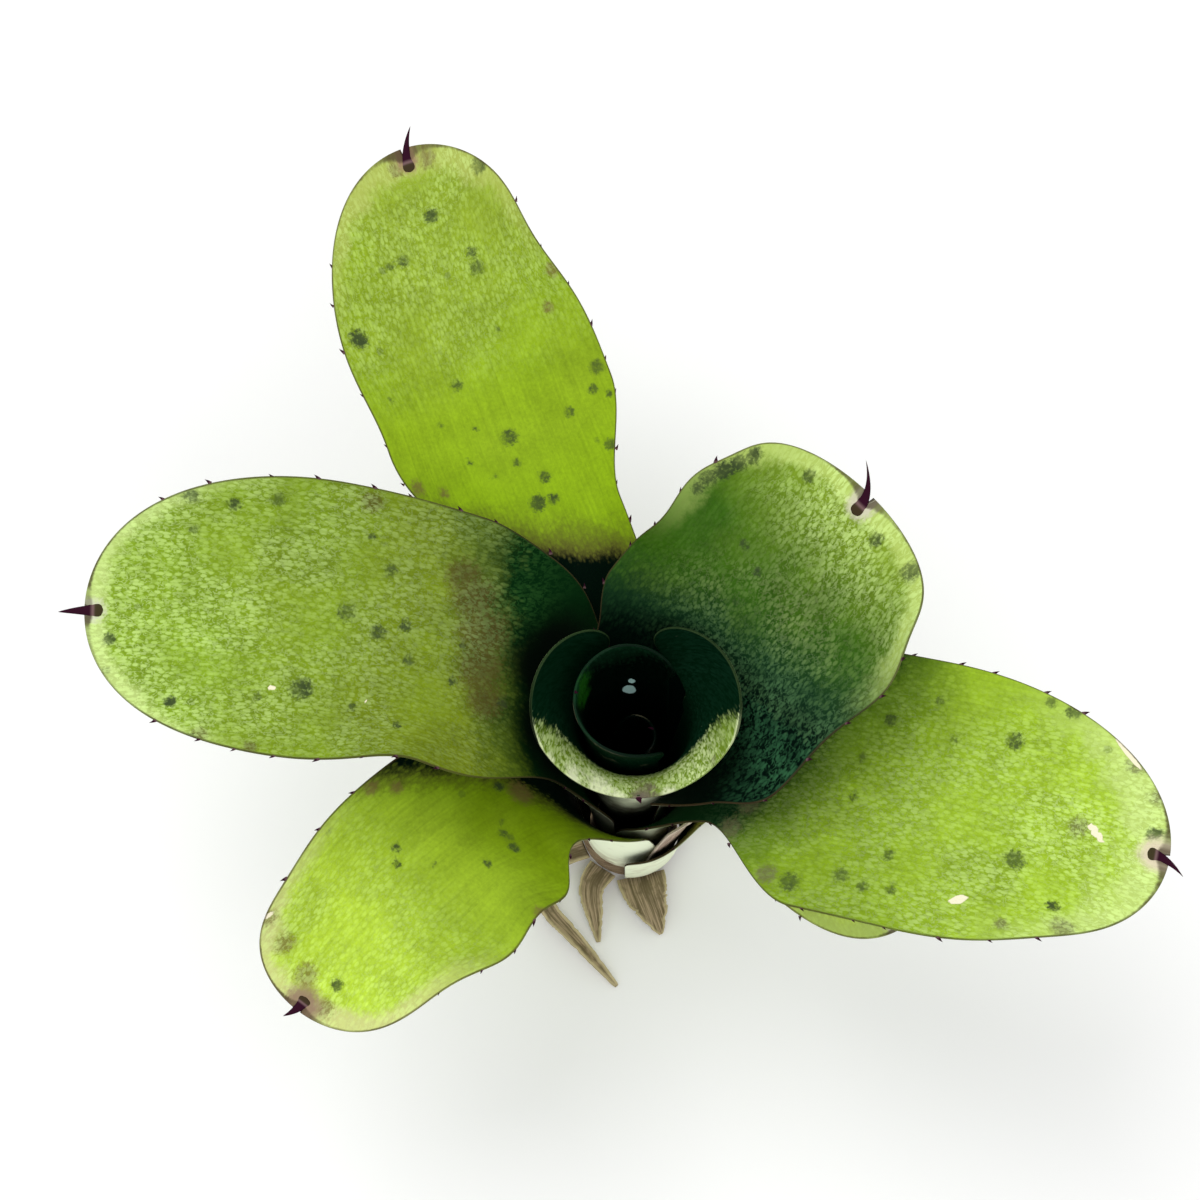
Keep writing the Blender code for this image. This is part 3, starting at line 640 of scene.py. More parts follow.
def spine_net(tree, size, midrib):
    """Tip spine: a hard curved horn whose foot is sunk in the end of the blade."""
    net, around, up = sheet_of_points(tree, SPINE_RING + 1, SPINE_ROWS)
    last = blade_end(size)
    none = fixed(tree, 0.0)
    six = fixed(tree, 6.0)
    start = blade_point(tree, size, midrib, none, last - 0.4, none)[0]
    ahead = blade_point(tree, size, midrib, none, last - 0.4, fixed(tree, 0.5))[0]
    beside = blade_point(tree, size, midrib, fixed(tree, 0.1), last - 6.0, six)[0]
    opposite = blade_point(tree, size, midrib, fixed(tree, -0.1), last - 6.0, six)[0]
    forward = (ahead - start).way("NORMALIZE")
    sideways = (beside - opposite).way("NORMALIZE")
    upper = forward.way("CROSS_PRODUCT", sideways).way("NORMALIZE")
    reach = up.ramp(0.0, 1.0, -SPINE_ROOT, 1.0, smooth=False)
    out = reach.most(0.0)
    centre = start + forward * (size["Spine length"] * reach)
    centre = centre + upper * (size["Spine lift"] * out * out)
    centre = centre + sideways * (size["Spine hook"] * out * out)
    swelling = reach.ramp(0.25, -0.1) * up.ramp(0.0, 0.2) * 0.5
    taper = (1.0 - out) ** 0.8 * up.ramp(0.0, 0.16) + swelling
    turn = around * (2.0 * math.pi)
    half = size["Spine width"] * 0.5
    point = centre + sideways * (turn.cosine() * half * taper)
    point = point + upper * (turn.sine() * (half * 0.46) * taper.least(1.0))
    net = kept(tree, net, "horn", reach.ramp(-0.05, 0.3, 0.02, 1.0))
    return welded(tree, moved_to(tree, net, point), LEAF_SEAM)


def leaf_shape():
    sizes = {
        "Rows": 190, "Ring": 112, "Seed": 1, "Clasp": 40.0, "Blade": 110.0, "Sheath": 46.0,
        "Wrap": 1.5, "Offset": 0.0, "Neck": 30.0, "Neck at": 14.0, "Width": 56.0,
        "Widest at": 50.0, "Shoulder": 10.0, "Rounding": 44.0, "Blunt": 2.2, "Notch": 0.8,
        "Margin thickness": 0.6, "Middle thickness": 0.95, "Pucker": 0.35,
        "Base share": 0.15, "End share": 0.3, "End turn": 1.56, "Tooth width": TOOTH_WIDTH,
        "Tooth length": TOOTH_LENGTH, "Tooth lean": TOOTH_LEAN, "Spine length": 6.5,
        "Spine width": 2.4, "Spine lift": 1.0, "Spine hook": 0.5,
    }
    tree, size = new_shape("leaf_shape", sizes, "Midrib and teeth")
    given = {"Geometry": size["Midrib and teeth"], "Selection": carried(tree, "is_tooth")}
    sorted_points = add_node(tree, "GeometryNodeSeparateGeometry", given, domain="POINT")
    tooth_points, rib_points = (Flow(tree, socket) for socket in sorted_points.outputs)
    midrib = flow(tree, "GeometryNodeMeshToCurve", {"Mesh": rib_points})
    leaf = add_node(tree, "GeometryNodeJoinGeometry")
    blade = blade_net(tree, size, midrib)
    teeth = tooth_net(tree, size, midrib, tooth_points)
    for part in (blade, teeth, spine_net(tree, size, midrib)):
        tree.links.new(part.socket, leaf.inputs[0])
    finished(tree, Flow(tree, leaf.outputs[0]), size)
    return tree


LEAF_TREE = leaf_shape()
SHARED_SIZES = (        # sizes that the tree takes straight from a leaf's habit
    "blade", "sheath", "offset", "neck", "neck_at", "width", "widest_at", "shoulder",
    "rounding", "blunt", "notch", "pucker", "spine_width", "spine_lift", "spine_hook",
)


def grow_leaf(name, finish, spots=(), stains=(), scars=(), pool_shades=(), pocket_shades=(), **changes):
    """Grow one leaf from its habit, and lay its spots, stains, scars, painted glints and lit
    patches, and painted pocket shade on it.
    """
    leaf = {**LEAF_HABIT, **changes}
    points, carries, clasp = midrib_line(leaf)
    edges = [(number, number + 1) for number in range(len(points) - 1)]
    teeth = np.array([
        (1.0, distance, skew, side)
        for distance, skew in tooth_places(leaf) for side in (-1.0, 1.0)
    ]).reshape(-1, 4)
    for carry_name, values in carries.items():
        blank = np.zeros((len(teeth), *values.shape[1:]))
        carries[carry_name] = np.concatenate([values, blank])
    for number, carry_name in enumerate(("is_tooth", "distance", "skew", "side")):
        carries[carry_name] = np.concatenate([np.zeros(len(points)), teeth[:, number]])
    points = np.concatenate([points, np.zeros((len(teeth), 3))])
    sizes = {
        "Rows": leaf["rows"], "Ring": leaf["ring"], "Seed": leaf["seed"], "Clasp": float(clasp),
        "Wrap": math.radians(leaf["wrap"]), "Spine length": leaf["spine"],
    }
    for key in SHARED_SIZES:
        sizes[key.replace("_", " ").capitalize()] = float(leaf[key])
    if leaf["rim"]:
        shares = {"Base share": 0.5, "End share": 0.25, "End turn": math.asin(RIM_SHARE)}
    else:
        end = 0.34 * leaf["rounding"]
        end = end / (end + 0.45 * (leaf["blade"] - leaf["rounding"])) * 0.86 + 0.1
        shares = {"Base share": 0.14, "End share": end, "End turn": 1.55}
    piece = grown(name, points, edges, carries, LEAF_TREE, {**sizes, **shares}, finish)
    for kind, marks in (("spot", spots), ("stain", stains)):
        lay_marks(piece, kind, [(side, past, size, size, 0.0) for side, past, size in marks])
    lay_marks(piece, "scar", scars)
    # Pools and films are painted shade, in the shadowed cup and low in the axils.
    lay_marks(piece, "pool_shade", pool_shades)
    lay_marks(piece, "pocket_shade", pocket_shades, face=-1.0)
    return piece


def lay_marks(piece, kind, marks, face=1.0):
    """Write how strongly each point of one face lies in a mark of one kind."""
    mesh = piece.data
    place = np.zeros(len(mesh.vertices) * 3)
    mesh.attributes["place"].data.foreach_get("vector", place)
    place = place.reshape(-1, 3)
    strength = np.zeros(len(place))
    for side, past, length, width, turn in marks:
        cos_turn = math.cos(math.radians(turn))
        sin_turn = math.sin(math.radians(turn))
        x = place[:, 0] - side
        y = place[:, 1] - past
        wide = (x * cos_turn + y * sin_turn) / width
        long = (y * cos_turn - x * sin_turn) / length
        on_face = place[:, 2] * face > -FACE_GAP / 2.0
        near = np.clip(1.5 - np.hypot(wide, long), 0.0, 1.0) * on_face
        strength = np.maximum(strength, near)
    layer = mesh.attributes.new(kind, "FLOAT", "POINT")
    layer.data.foreach_set("value", strength.astype(np.float32))


LEAF_LOOK = {
    "grow_from": 30.0,                  # where the green starts to turn paler
    "low": (0.20, 0.36, 0.010),         # green near the base
    "high": (0.26, 0.44, 0.035),        # green towards the tip
    "tip": (0.50, 0.62, 0.17),          # pale zone along the margin of the tip
    "tip_reach": 5.0,                   # how wide that zone is
    "foot": (0.60, 0.55, 0.42),         # callus behind the tip spine
    "foot_reach": 3.5,
    "scurf_colour": (0.50, 0.66, 0.24),     # lit scurf, before its brightness is set
    "scurf": 0.6,                       # how densely the pale scurf lies
    "scurf_from": 20.0,                 # distance from which it is at full strength
    "damp": (0.016, 0.075, 0.036),      # the scurf in the dark zone, dimmed there partly as painted shade
    "dab_run": 0.55,                    # below 1, its dabs run lengthways
    "bare_from": 90.0,                  # how far left of the midrib it starts to thin out
    # The dark zone is partly the leaf's own dark base and partly painted shade from the cup.
    "dark": (0.0010, 0.0055, 0.0030),   # dark zone at the base
    "dark_full": 18.0,                  # distance up to which the zone is full
    "dark_end": 34.0,                   # and where it has gone
    "dark_lean": 0.0,                   # how far it runs on along the left margin
    "dark_bow": 0.0,                    # how far it runs on along both margins
    "dark_warp": 1.0,                   # unevenness of its edge
    "dark_rag": 0.75,                   # and how finely that edge is frayed
    "fringe": (0.052, 0.044, 0.012),    # brown purple fringe of the dark zone
    "fringe_wide": 7.0,
    "fringe_share": 0.7,
    "fringe_damp": 0.3,                 # how far the scurf on the fringe is dimmed like that too
    "blade": 110.0,                     # length of the leaf, as in its habit
    "freckles": 0.4,                    # how strongly the small freckles show
    "under": (0.17, 0.27, 0.05),        # green of the lower face
    "sheath": (0.66, 0.72, 0.50),       # waxy bloom of the clasping base
    "sheath_to": 24.0,                  # distance up to which the bloom reaches
    "spot": (0.030, 0.048, 0.018),
    # Brown stains; on the cup leaves the same marks also paint lit patches.
    "stain": (0.15, 0.10, 0.035),
    # Pale scars; on the cup inner leaf the same marks paint two glints of reflected light.
    "scar": (0.86, 0.80, 0.58),
    "pocket_shade": (0.0015, 0.004, 0.002),      # painted shade, near black, low in the shadowed axils
    "line": (0.06, 0.04, 0.018),        # thin dark line along the margins
}
LEAF_RELIEF = 0.00012       # in metres
HORN_TIP = (0.030, 0.006, 0.016)
HORN_FOOT = (0.20, 0.12, 0.12)
UNDER_BLOTCH = (0.40, 0.36, 0.22)
SHEATH_FOOT = (0.30, 0.22, 0.13)


def brightened(tree, colour, share):
    return flow(tree, "ShaderNodeVectorMath", {0: colour, 3: share}, operation="SCALE")


def scattered(tree, place, scale):
    """Cells grown round scattered points: the distance to the nearest, and a chance for each."""
    given = {"Vector": place, "Scale": scale, "Randomness": 1.0}
    cells = add_node(tree, "ShaderNodeTexVoronoi", given)
    return Flow(tree, cells.outputs["Distance"]), Flow(tree, cells.outputs["Color"]).parts()[0]


def leaf_finish(name, roughness=0.5, specular=0.08, **changes):
    """Waxy leaf skin: green with a dark base that is partly painted shade, pale scurf, veins,
    freckles, spots, stains and scars, and painted lit patches, glints and pocket shade.
    """
    look = {**LEAF_LOOK, **changes}
    material, tree, shader = new_finish(name, roughness, specular)
    place = read(tree, "place", "Vector")
    side = place.parts()[0]
    past, margin, face, horn = (read(tree, key) for key in ("past", "margin", "face", "horn"))
    broad = grain(tree, place, 0.045, 2.0)
    veins = grain(tree, place.stretched((1.5, 0.03, 1.0)), 1.0, 3.0, 0.6)
    fine = grain(tree, place, 1.4, 3.0, 0.65)
    patchy = grain(tree, place, 0.16, 3.0, 0.6)
    apart, chance = scattered(tree, place.stretched((1.0, look["dab_run"], 1.0)), 1.35)
    dab = (apart + (fine - 0.5) * 0.6).ramp(0.62, 0.34) * chance.ramp(0.0, 0.8, 0.3, 1.0)
    zone = grain(tree, place, 0.07, 2.0)
    zone = zone.ramp(0.32, 0.62) * 0.6 + 0.4
    zone = zone * past.ramp(look["scurf_from"] - 20.0, look["scurf_from"])
    zone = zone * side.ramp(look["bare_from"] + 22.0, look["bare_from"], 0.12, 1.0)
    zone = zone * look["scurf"]

    growth = past.ramp(look["grow_from"], look["blade"])
    green = mixed(tree, growth + (broad - 0.5) * 0.9, look["low"], look["high"])
    uneven = (veins - 0.5) * 0.5 + (patchy - 0.5) * 0.6 + (fine - 0.5) * 0.55
    green = brightened(tree, green, uneven + (dab - 0.4) * (zone * 0.5 + 0.06) + 1.0)
    tip_near = past.ramp(look["blade"] - 38.0, look["blade"] - 6.0)
    edge = margin + (patchy - 0.5) * (look["tip_reach"] * 1.4) + (fine - 0.5) * 2.5
    edge = edge.ramp(look["tip_reach"], look["tip_reach"] * 0.3) * tip_near
    green = mixed(tree, edge * 0.7, green, look["tip"])

    apart, chance = scattered(tree, place, 0.16)
    freckle = (apart + (fine - 0.5) * 0.16).ramp(0.17, 0.08) * chance.ramp(0.80, 0.86)
    freckle = freckle * look["freckles"]
    green = mixed(tree, freckle, green, look["spot"])

    # The dark zone near the base: partly dark pigment, partly painted shade; the scurf in it is
    # dimmed too.
    warp = ((broad - 0.5) * 16.0 + (patchy - 0.5) * 10.0) * look["dark_warp"]
    warp = warp + ((fine - 0.5) * 8.0 + (dab - 0.4) * 3.0) * look["dark_rag"]
    reach = past + side * look["dark_lean"] - side * side * look["dark_bow"] + warp
    fringe = reach.ramp(look["dark_end"] + look["fringe_wide"], look["dark_end"] - 3.0)
    green = mixed(tree, fringe * look["fringe_share"], green, look["fringe"])
    shade = reach.ramp(look["dark_end"], look["dark_full"])
    green = mixed(tree, shade, green, look["dark"])

    ragged = (fine - 0.5) * 1.7 + (patchy - 0.5) * 0.5 + (veins - 0.5) * 0.4
    # Stains, and on the cup leaves painted lit patches.
    stain = (read(tree, "stain") + ragged).ramp(0.3, 1.1) * 0.75
    green = mixed(tree, stain, green, look["stain"])

    worms = grain(tree, place.stretched((1.0, 0.62, 1.0)), 1.6, 0.8, 0.4, 0.7)
    worm = abs(worms - 0.5).ramp(0.095, 0.04) * grain(tree, place, 1.0, 1.0).ramp(0.40, 0.50)
    scurf = (dab * 0.7).most(worm * 0.55).most(fine.ramp(0.56, 0.74) * 0.25) * zone
    brightness = growth * 0.75 + patchy * 0.3 + edge * 0.3 + 0.2
    scurf_paint = brightened(tree, look["scurf_colour"], brightness)
    scurf_paint = mixed(tree, shade.most(fringe * look["fringe_damp"]), scurf_paint, look["damp"])
    deep = reach.ramp(look["dark_full"] - 4.0, look["dark_full"] - 22.0)
    green = mixed(tree, scurf * (1.0 - deep), green, scurf_paint)

    spot = (read(tree, "spot") + ragged).ramp(0.35, 1.05) * patchy.ramp(0.25, 0.7, 0.5, 0.95)
    green = mixed(tree, spot, green, look["spot"])
    tip_gap = (side * side + (past - look["blade"]) ** 2.0) ** 0.5
    foot = (tip_gap + (fine - 0.5) * 3.0).ramp(look["foot_reach"], look["foot_reach"] * 0.4)
    green = mixed(tree, foot * 0.85, green, look["foot"])
    # Scars, and on the cup inner leaf painted glints of reflected light.
    scar = (read(tree, "scar") + (fine - 0.5) * 0.35).ramp(0.45, 0.62)
    green = mixed(tree, scar, green, look["scar"])
    line = (margin + (fine - 0.5) * 0.25).ramp(0.32, 0.10) * patchy.ramp(0.30, 0.62, 0.3, 0.9)
    green = mixed(tree, line, green, look["line"])

    under = brightened(tree, look["under"], (veins - 0.5) * 1.2 + 1.0)
    bloom = (past + warp * 0.5).ramp(look["sheath_to"], look["sheath_to"] - 34.0)
    under = mixed(tree, bloom, under, look["sheath"])
    under = mixed(tree, patchy.ramp(0.55, 0.75) * 0.3, under, UNDER_BLOTCH)
    browned = past.ramp(-18.0, -44.0) * patchy.ramp(0.3, 0.6)
    under = mixed(tree, browned, under, SHEATH_FOOT)
    skin = mixed(tree, face.ramp(-0.95, -0.6), under, green)
    # Painted shade: near black deep in the shadowed pockets and axils.
    pocket_shade = (read(tree, "pocket_shade").most(read(tree, "pool_shade")) + (patchy - 0.5) * 0.5).ramp(0.1, 0.9)
    skin = mixed(tree, pocket_shade, skin, look["pocket_shade"])
    horn_paint = mixed(tree, horn.ramp(0.05, 0.6), HORN_FOOT, HORN_TIP)
    skin = mixed(tree, horn.ramp(0.0, 0.22), skin, horn_paint)
    joined(tree, shader.inputs["Base Color"], skin)
    gloss = (1.0 - shade.most(fringe * 0.6).most(pocket_shade) * 0.9) * specular
    joined(tree, shader.inputs["Specular IOR Level"], gloss)
    dullness = (scurf * 0.25 + spot * 0.1 + (fine - 0.5) * 0.12 + roughness).held()
    joined(tree, shader.inputs["Roughness"], dullness)
    height = veins * 0.45 + scurf * 0.5 + fine * 0.2 - scar * 0.6
    raised(tree, shader, height, LEAF_RELIEF)
    return material


finish = leaf_finish(
    "low_right_skin", blade=71.5, low=(0.52, 0.66, 0.06), high=(0.58, 0.74, 0.09),
    scurf=0.25, sheath=(0.86, 0.93, 0.70), freckles=0.2, dark_full=4.0, dark_end=14.0,
)
leaf = grow_leaf(
    "leaf_low_right_blade", finish,
    layer=9, root_height=4.0, heading=-8.0, clasp_height=30.0, blade=71.5, climb=12.0,
    tip_climb=-5.0, sweep=-53.0, neck=16.0, neck_at=18.5, width=38.5, widest_at=46.0,
    rounding=26.0, channel=18.0, seed=11, spine=1.6,
)
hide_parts("leaf_low_right")
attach(leaf, "root")

# Leaf front left: smooth and yellow green, with thin dull scurf only towards its browned tip.
# Its base is folded round the front of the tube and makes a pocket that fills with shadow.
finish = leaf_finish(
    "front_left_skin", blade=93.5, low=(0.16, 0.26, 0.003), high=(0.45, 0.65, 0.040),
    tip=(0.60, 0.58, 0.27), tip_reach=4.0, sheath=(0.86, 0.93, 0.70), sheath_to=46.0,
    # Its dark zone, run up the left margin, is the leaf's dark base and painted shadow of that
    # pocket.
    foot=(0.24, 0.13, 0.11), foot_reach=5.5, scurf=0.5, scurf_from=70.0, dark_full=18.0,
    dark_end=24.0, dark_lean=1.5, dark_warp=0.4,
)
leaf = grow_leaf(
    "leaf_front_left_blade", finish,
    spots=(
        (1.9, 37.4, 0.8), (4.1, 39.0, 1.2), (7.3, 39.3, 1.3), (7.5, 46.5, 1.0), (-6.6, 58.7, 1.1),
        (-3.9, 60.8, 1.0), (3.2, 86.4, 1.4), (-5.0, 33.3, 1.3), (1.0, 55.3, 0.7),
    ),
    stains=(
        (-2.3, 29.1, 3.2), (-17.1, 83.9, 2.2), (-19.4, 55.6, 1.8), (-3.0, 88.3, 2.6),
        (-10.3, 85.7, 2.4), (20.6, 46.5, 1.6), (-16.0, 51.7, 1.6), (4.2, 91.0, 2.0),
    ),
    scars=((-17.3, 83.3, 1.2, 0.5, 20.0),),
    layer=7, root_height=6.5, heading=208.5, clasp_height=43.0, blade=93.5, climb=25.0,
    tip_climb=0.0, sweep=26.0, roll=-12.0, sheath=27.0, offset=6.0, shoulder=-5.0,
    neck=22.5, neck_at=20.0, width=42.0, widest_at=50.0, rounding=49.0, blunt=5.5,
    hold=0.0, channel=34.0, notch=1.5,
    waves=(
        (38.0, 7.0, 1.5, 1.0, 5.4), (58.0, 12.0, 0.0, 1.0, 5.4), (78.0, 10.0, 0.0, -1.0, -1.5),
    ),
    seed=12, spine=4.5, spine_hook=-1.5,
)
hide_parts("leaf_front_left")
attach(leaf, "root")

# Leaf back: the longest leaf, pale yellow green and almost free of scurf, pinched on its
# right side where a neighbour pressed on it as it grew.
finish = leaf_finish(
    "back_skin", blade=138.0, low=(0.245, 0.41, 0.003), high=(0.235, 0.34, 0.016), tip_reach=3.5,
    foot=(0.28, 0.15, 0.11), foot_reach=3.5, scurf=0.45, scurf_from=100.0, dark_full=46.0,
    dark_end=50.0, dark_lean=-0.5, dark_warp=0.35, fringe=(0.085, 0.062, 0.020), fringe_wide=9.0,
    fringe_share=0.9, damp=(0.03, 0.02, 0.01), dark_rag=0.45, tip=(0.42, 0.48, 0.11),
)
leaf = grow_leaf(
    "leaf_back_blade", finish,
    spots=(
        (-1.4, 124.6, 1.9), (7.3, 116.4, 1.6), (10.5, 115.7, 1.1), (-7.6, 113.5, 1.4),
        (-7.6, 109.8, 2.0), (-7.3, 96.0, 0.9), (21.9, 102.0, 2.2), (-24.4, 80.5, 1.9),
        (-22.0, 76.4, 1.3), (-24.9, 74.2, 0.9), (5.0, 87.5, 1.5), (20.7, 88.3, 0.9),
        (12.0, 80.5, 0.9), (4.7, 77.5, 0.8), (-1.6, 73.4, 2.0), (-15.4, 73.8, 1.4),
        (8.2, 71.2, 0.9), (-1.2, 67.9, 1.2), (-5.7, 63.0, 1.5), (4.4, 66.8, 0.8),
        (-2.2, 58.2, 2.1), (-5.7, 57.9, 1.4), (-21.1, 64.2, 1.5), (-15.0, 128.7, 2.1),
    ),
    stains=(
        (22.6, 69.7, 2.0), (16.8, 67.1, 1.5), (-24.4, 102.4, 1.8), (-4.4, 136.0, 2.0),
        (3.1, 136.0, 1.6), (-19.5, 96.0, 1.6),
    ),
    layer=6, root_height=9.0, heading=117.0, clasp_height=47.0, blade=138.0, climb=26.0,
    tip_climb=8.0, sweep=-9.5, roll=-8.0, sheath=30.0, neck=38.0, neck_at=53.0, width=53.5,
    widest_at=78.0, rounding=54.0, blunt=2.4, channel=22.0, notch=3.6,
    waves=(
        (50.0, 12.0, 1.0, 1.0, -5.5), (80.0, 16.0, 0.0, 1.0, -3.0), (112.0, 14.0, 0.0, -1.0, -3.0),
    ),
    seed=13, spine=8.0, spine_hook=-3.0,
)
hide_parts("leaf_back")
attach(leaf, "root")

# Leaf right: broad and long on a narrow channelled neck, thickly scurfed towards its tip,
# where old cuts have healed as pale slits.
finish = leaf_finish(
    "right_skin", blade=113.5, low=(0.20, 0.33, 0.006), high=(0.35, 0.54, 0.025),
    tip=(0.52, 0.66, 0.20), tip_reach=6.0, foot=(0.70, 0.58, 0.46), foot_reach=5.0, scurf=0.85,
    scurf_from=36.0, bare_from=8.0, dark_full=36.0, dark_end=45.0, dark_lean=-0.6, dark_warp=0.5,
    dark=(0.004, 0.026, 0.007), fringe=(0.085, 0.165, 0.012), fringe_wide=13.0, fringe_share=0.8,
    fringe_damp=0.0, damp=(0.06, 0.12, 0.05), stain=(0.13, 0.12, 0.06),
)
leaf = grow_leaf(
    "leaf_right_blade", finish,
    spots=(
        (14.7, 57.1, 1.6), (20.5, 66.1, 1.2), (15.8, 81.9, 2.1), (-8.2, 86.8, 2.4),
        (-13.3, 63.6, 1.4), (-19.8, 55.9, 1.9), (-23.6, 46.9, 2.4), (13.3, 70.4, 1.2),
        (5.8, 53.4, 1.2), (-2.5, 53.7, 1.2), (-20.5, 65.8, 1.2), (-21.2, 60.5, 1.4),
        (-16.4, 94.9, 1.4), (24.1, 90.9, 1.7), (25.1, 86.5, 1.3), (4.0, 111.5, 1.6),
    ),
    stains=(
        (16.9, 104.2, 2.2), (11.6, 109.7, 2.0), (-20.9, 96.7, 2.6), (1.7, 97.7, 2.4),
        (-22.8, 86.2, 1.6), (-14.0, 31.0, 3.0), (-8.0, 33.0, 3.0), (-23.0, 42.0, 2.4),
    ),
    scars=(
        (1.5, 101.1, 2.9, 0.8, 42.0), (-19.3, 78.2, 2.0, 0.9, -30.0),
        (18.6, 102.2, 4.0, 0.5, 40.0),
    ),
    layer=5, root_height=11.5, heading=-19.3, clasp_height=50.0, blade=113.5, climb=24.0,
    tip_climb=0.0, sweep=4.3, sheath=36.0, neck=26.0, neck_at=23.5, width=57.5,
    widest_at=48.5, rounding=47.5, blunt=2.2, channel=16.0, notch=2.6,
    waves=((95.0, 12.0, 0.0, -1.0, -1.4),), seed=14, spine=6.0, spine_hook=-3.25,
)
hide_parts("leaf_right")
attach(leaf, "root")

# Leaf left: broad and long, mid green and scurfed all over in short pale dashes, its base
# nearly black, partly its own dark colour and partly painted shade from the cup.
finish = leaf_finish(
    "left_skin", blade=119.5, low=(0.16, 0.22, 0.005), high=(0.225, 0.37, 0.014),
    tip=(0.56, 0.70, 0.24), tip_reach=3.0, foot=(0.60, 0.60, 0.46), foot_reach=3.5, scurf=0.85,
    scurf_from=45.0, dark_full=29.0, dark_end=40.0, dark_lean=0.4, dark_warp=1.0,
    fringe=(0.045, 0.085, 0.010), fringe_wide=9.0, dark=(0.002, 0.020, 0.004),
    stain=(0.075, 0.052, 0.014), damp=(0.04, 0.15, 0.03),
)
leaf = grow_leaf(
    "leaf_left_blade", finish,
    spots=(
        (-24.3, 85.7, 1.7), (-23.4, 100.3, 1.7), (-16.7, 100.0, 1.1), (-14.1, 63.6, 1.6),
        (-3.7, 70.1, 2.1), (-1.1, 63.3, 1.9), (-3.7, 58.1, 1.5), (-3.3, 45.8, 1.2),
        (3.0, 55.9, 1.6), (4.4, 46.1, 1.2), (13.7, 76.9, 2.9), (16.3, 85.7, 1.2),
        (16.4, 65.9, 1.2), (18.5, 102.6, 1.4), (5.7, 115.6, 1.4), (-19.7, 68.5, 1.0),
        (-22.4, 93.2, 1.5), (5.0, 34.1, 1.6), (19.3, 55.9, 1.2), (26.8, 98.0, 1.4),
    ),
    stains=(
        (-26.8, 69.8, 2.4), (27.9, 86.0, 1.8), (25.6, 96.1, 1.8), (-13.0, 46.8, 5.0),
        (-7.0, 43.0, 6.0), (0.0, 41.0, 6.0), (6.0, 38.0, 5.0), (-17.0, 50.0, 4.0),
    ),
    scars=((14.0, 82.8, 1.1, 0.35, 0.0), (14.1, 63.0, 0.5, 0.4, 0.0)),
    # Painted shade, near black, where the base lies deep in the shadowed cup.
    pool_shades=((-6.0, 24.0, 12.0, 9.0, 20.0), (4.0, 18.0, 12.0, 12.0, 0.0)),
    layer=4, root_height=14.0, heading=161.5, clasp_height=54.0, blade=119.5, climb=28.0,
    tip_climb=6.0, sweep=20.0, roll=-16.0, sheath=34.0, neck=30.0, neck_at=15.0, width=59.5,
    widest_at=50.0, rounding=45.0, channel=34.0, notch=1.6,
    waves=((26.0, 12.0, 0.0, -1.0, 6.0), (52.0, 14.0, 0.0, 1.0, -4.5)), seed=15, spine=7.0,
)
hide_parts("leaf_left")
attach(leaf, "root")

# Leaf hood: shorter, steep and hollow, it backs the cup, with two pale lobes beside the long
# curved spine at its tip. It is the most heavily scurfed leaf, and dark teal inside, partly its
# own colour and partly painted shade from the cup.
finish = leaf_finish(
    "hood_skin", blade=71.0, low=(0.034, 0.110, 0.003), high=(0.22, 0.34, 0.02),
    tip=(0.50, 0.64, 0.16), tip_reach=5.0, foot=(0.60, 0.55, 0.45), foot_reach=4.0, scurf=0.95,
    grow_from=48.0, scurf_from=28.0, bare_from=4.0, dark_full=23.0, dark_end=32.0,
    dark_lean=0.35, dark_warp=0.3, damp=(0.040, 0.15, 0.065), fringe_damp=0.75,
    dark=(0.0008, 0.005, 0.003), fringe=(0.004, 0.026, 0.010), fringe_wide=13.0, fringe_share=0.95,
)
leaf = grow_leaf(
    "leaf_hood_blade", finish,
    spots=(
        (25.9, 56.7, 2.3), (26.6, 53.8, 2.0), (26.6, 51.0, 1.6), (25.0, 59.6, 2.2),
        (23.6, 62.2, 1.9), (11.7, 67.1, 1.5), (-7.0, 67.7, 1.6), (-16.9, 67.1, 2.2),
        (12.0, 48.6, 1.2), (6.2, 46.4, 1.2),
    ),
    layer=3, root_height=16.5, heading=30.3, clasp_height=66.0, blade=71.0, bend=38.0,
    climb=50.0, tip_climb=35.0, sweep=10.5, roll=3.6, sheath=44.0, wrap=90.0, neck=50.0,
    neck_at=14.0, width=58.4, widest_at=25.0, rounding=29.5, blunt=4.4, channel=26.0,
    notch=2.8, spine=8.0, spine_lift=2.0, spine_hook=5.0, seed=16,
    waves=(
        (22.0, 9.0, 0.0, -1.0, 2.8), (50.0, 8.0, -1.5, -1.0, 1.2), (62.0, 7.0, 0.0, -1.0, -1.8),
        (42.0, 7.0, 1.5, 1.0, -1.9), (62.0, 7.0, 0.0, 1.0, -1.9),
    ),
)
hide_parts("leaf_hood")
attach(leaf, "root")

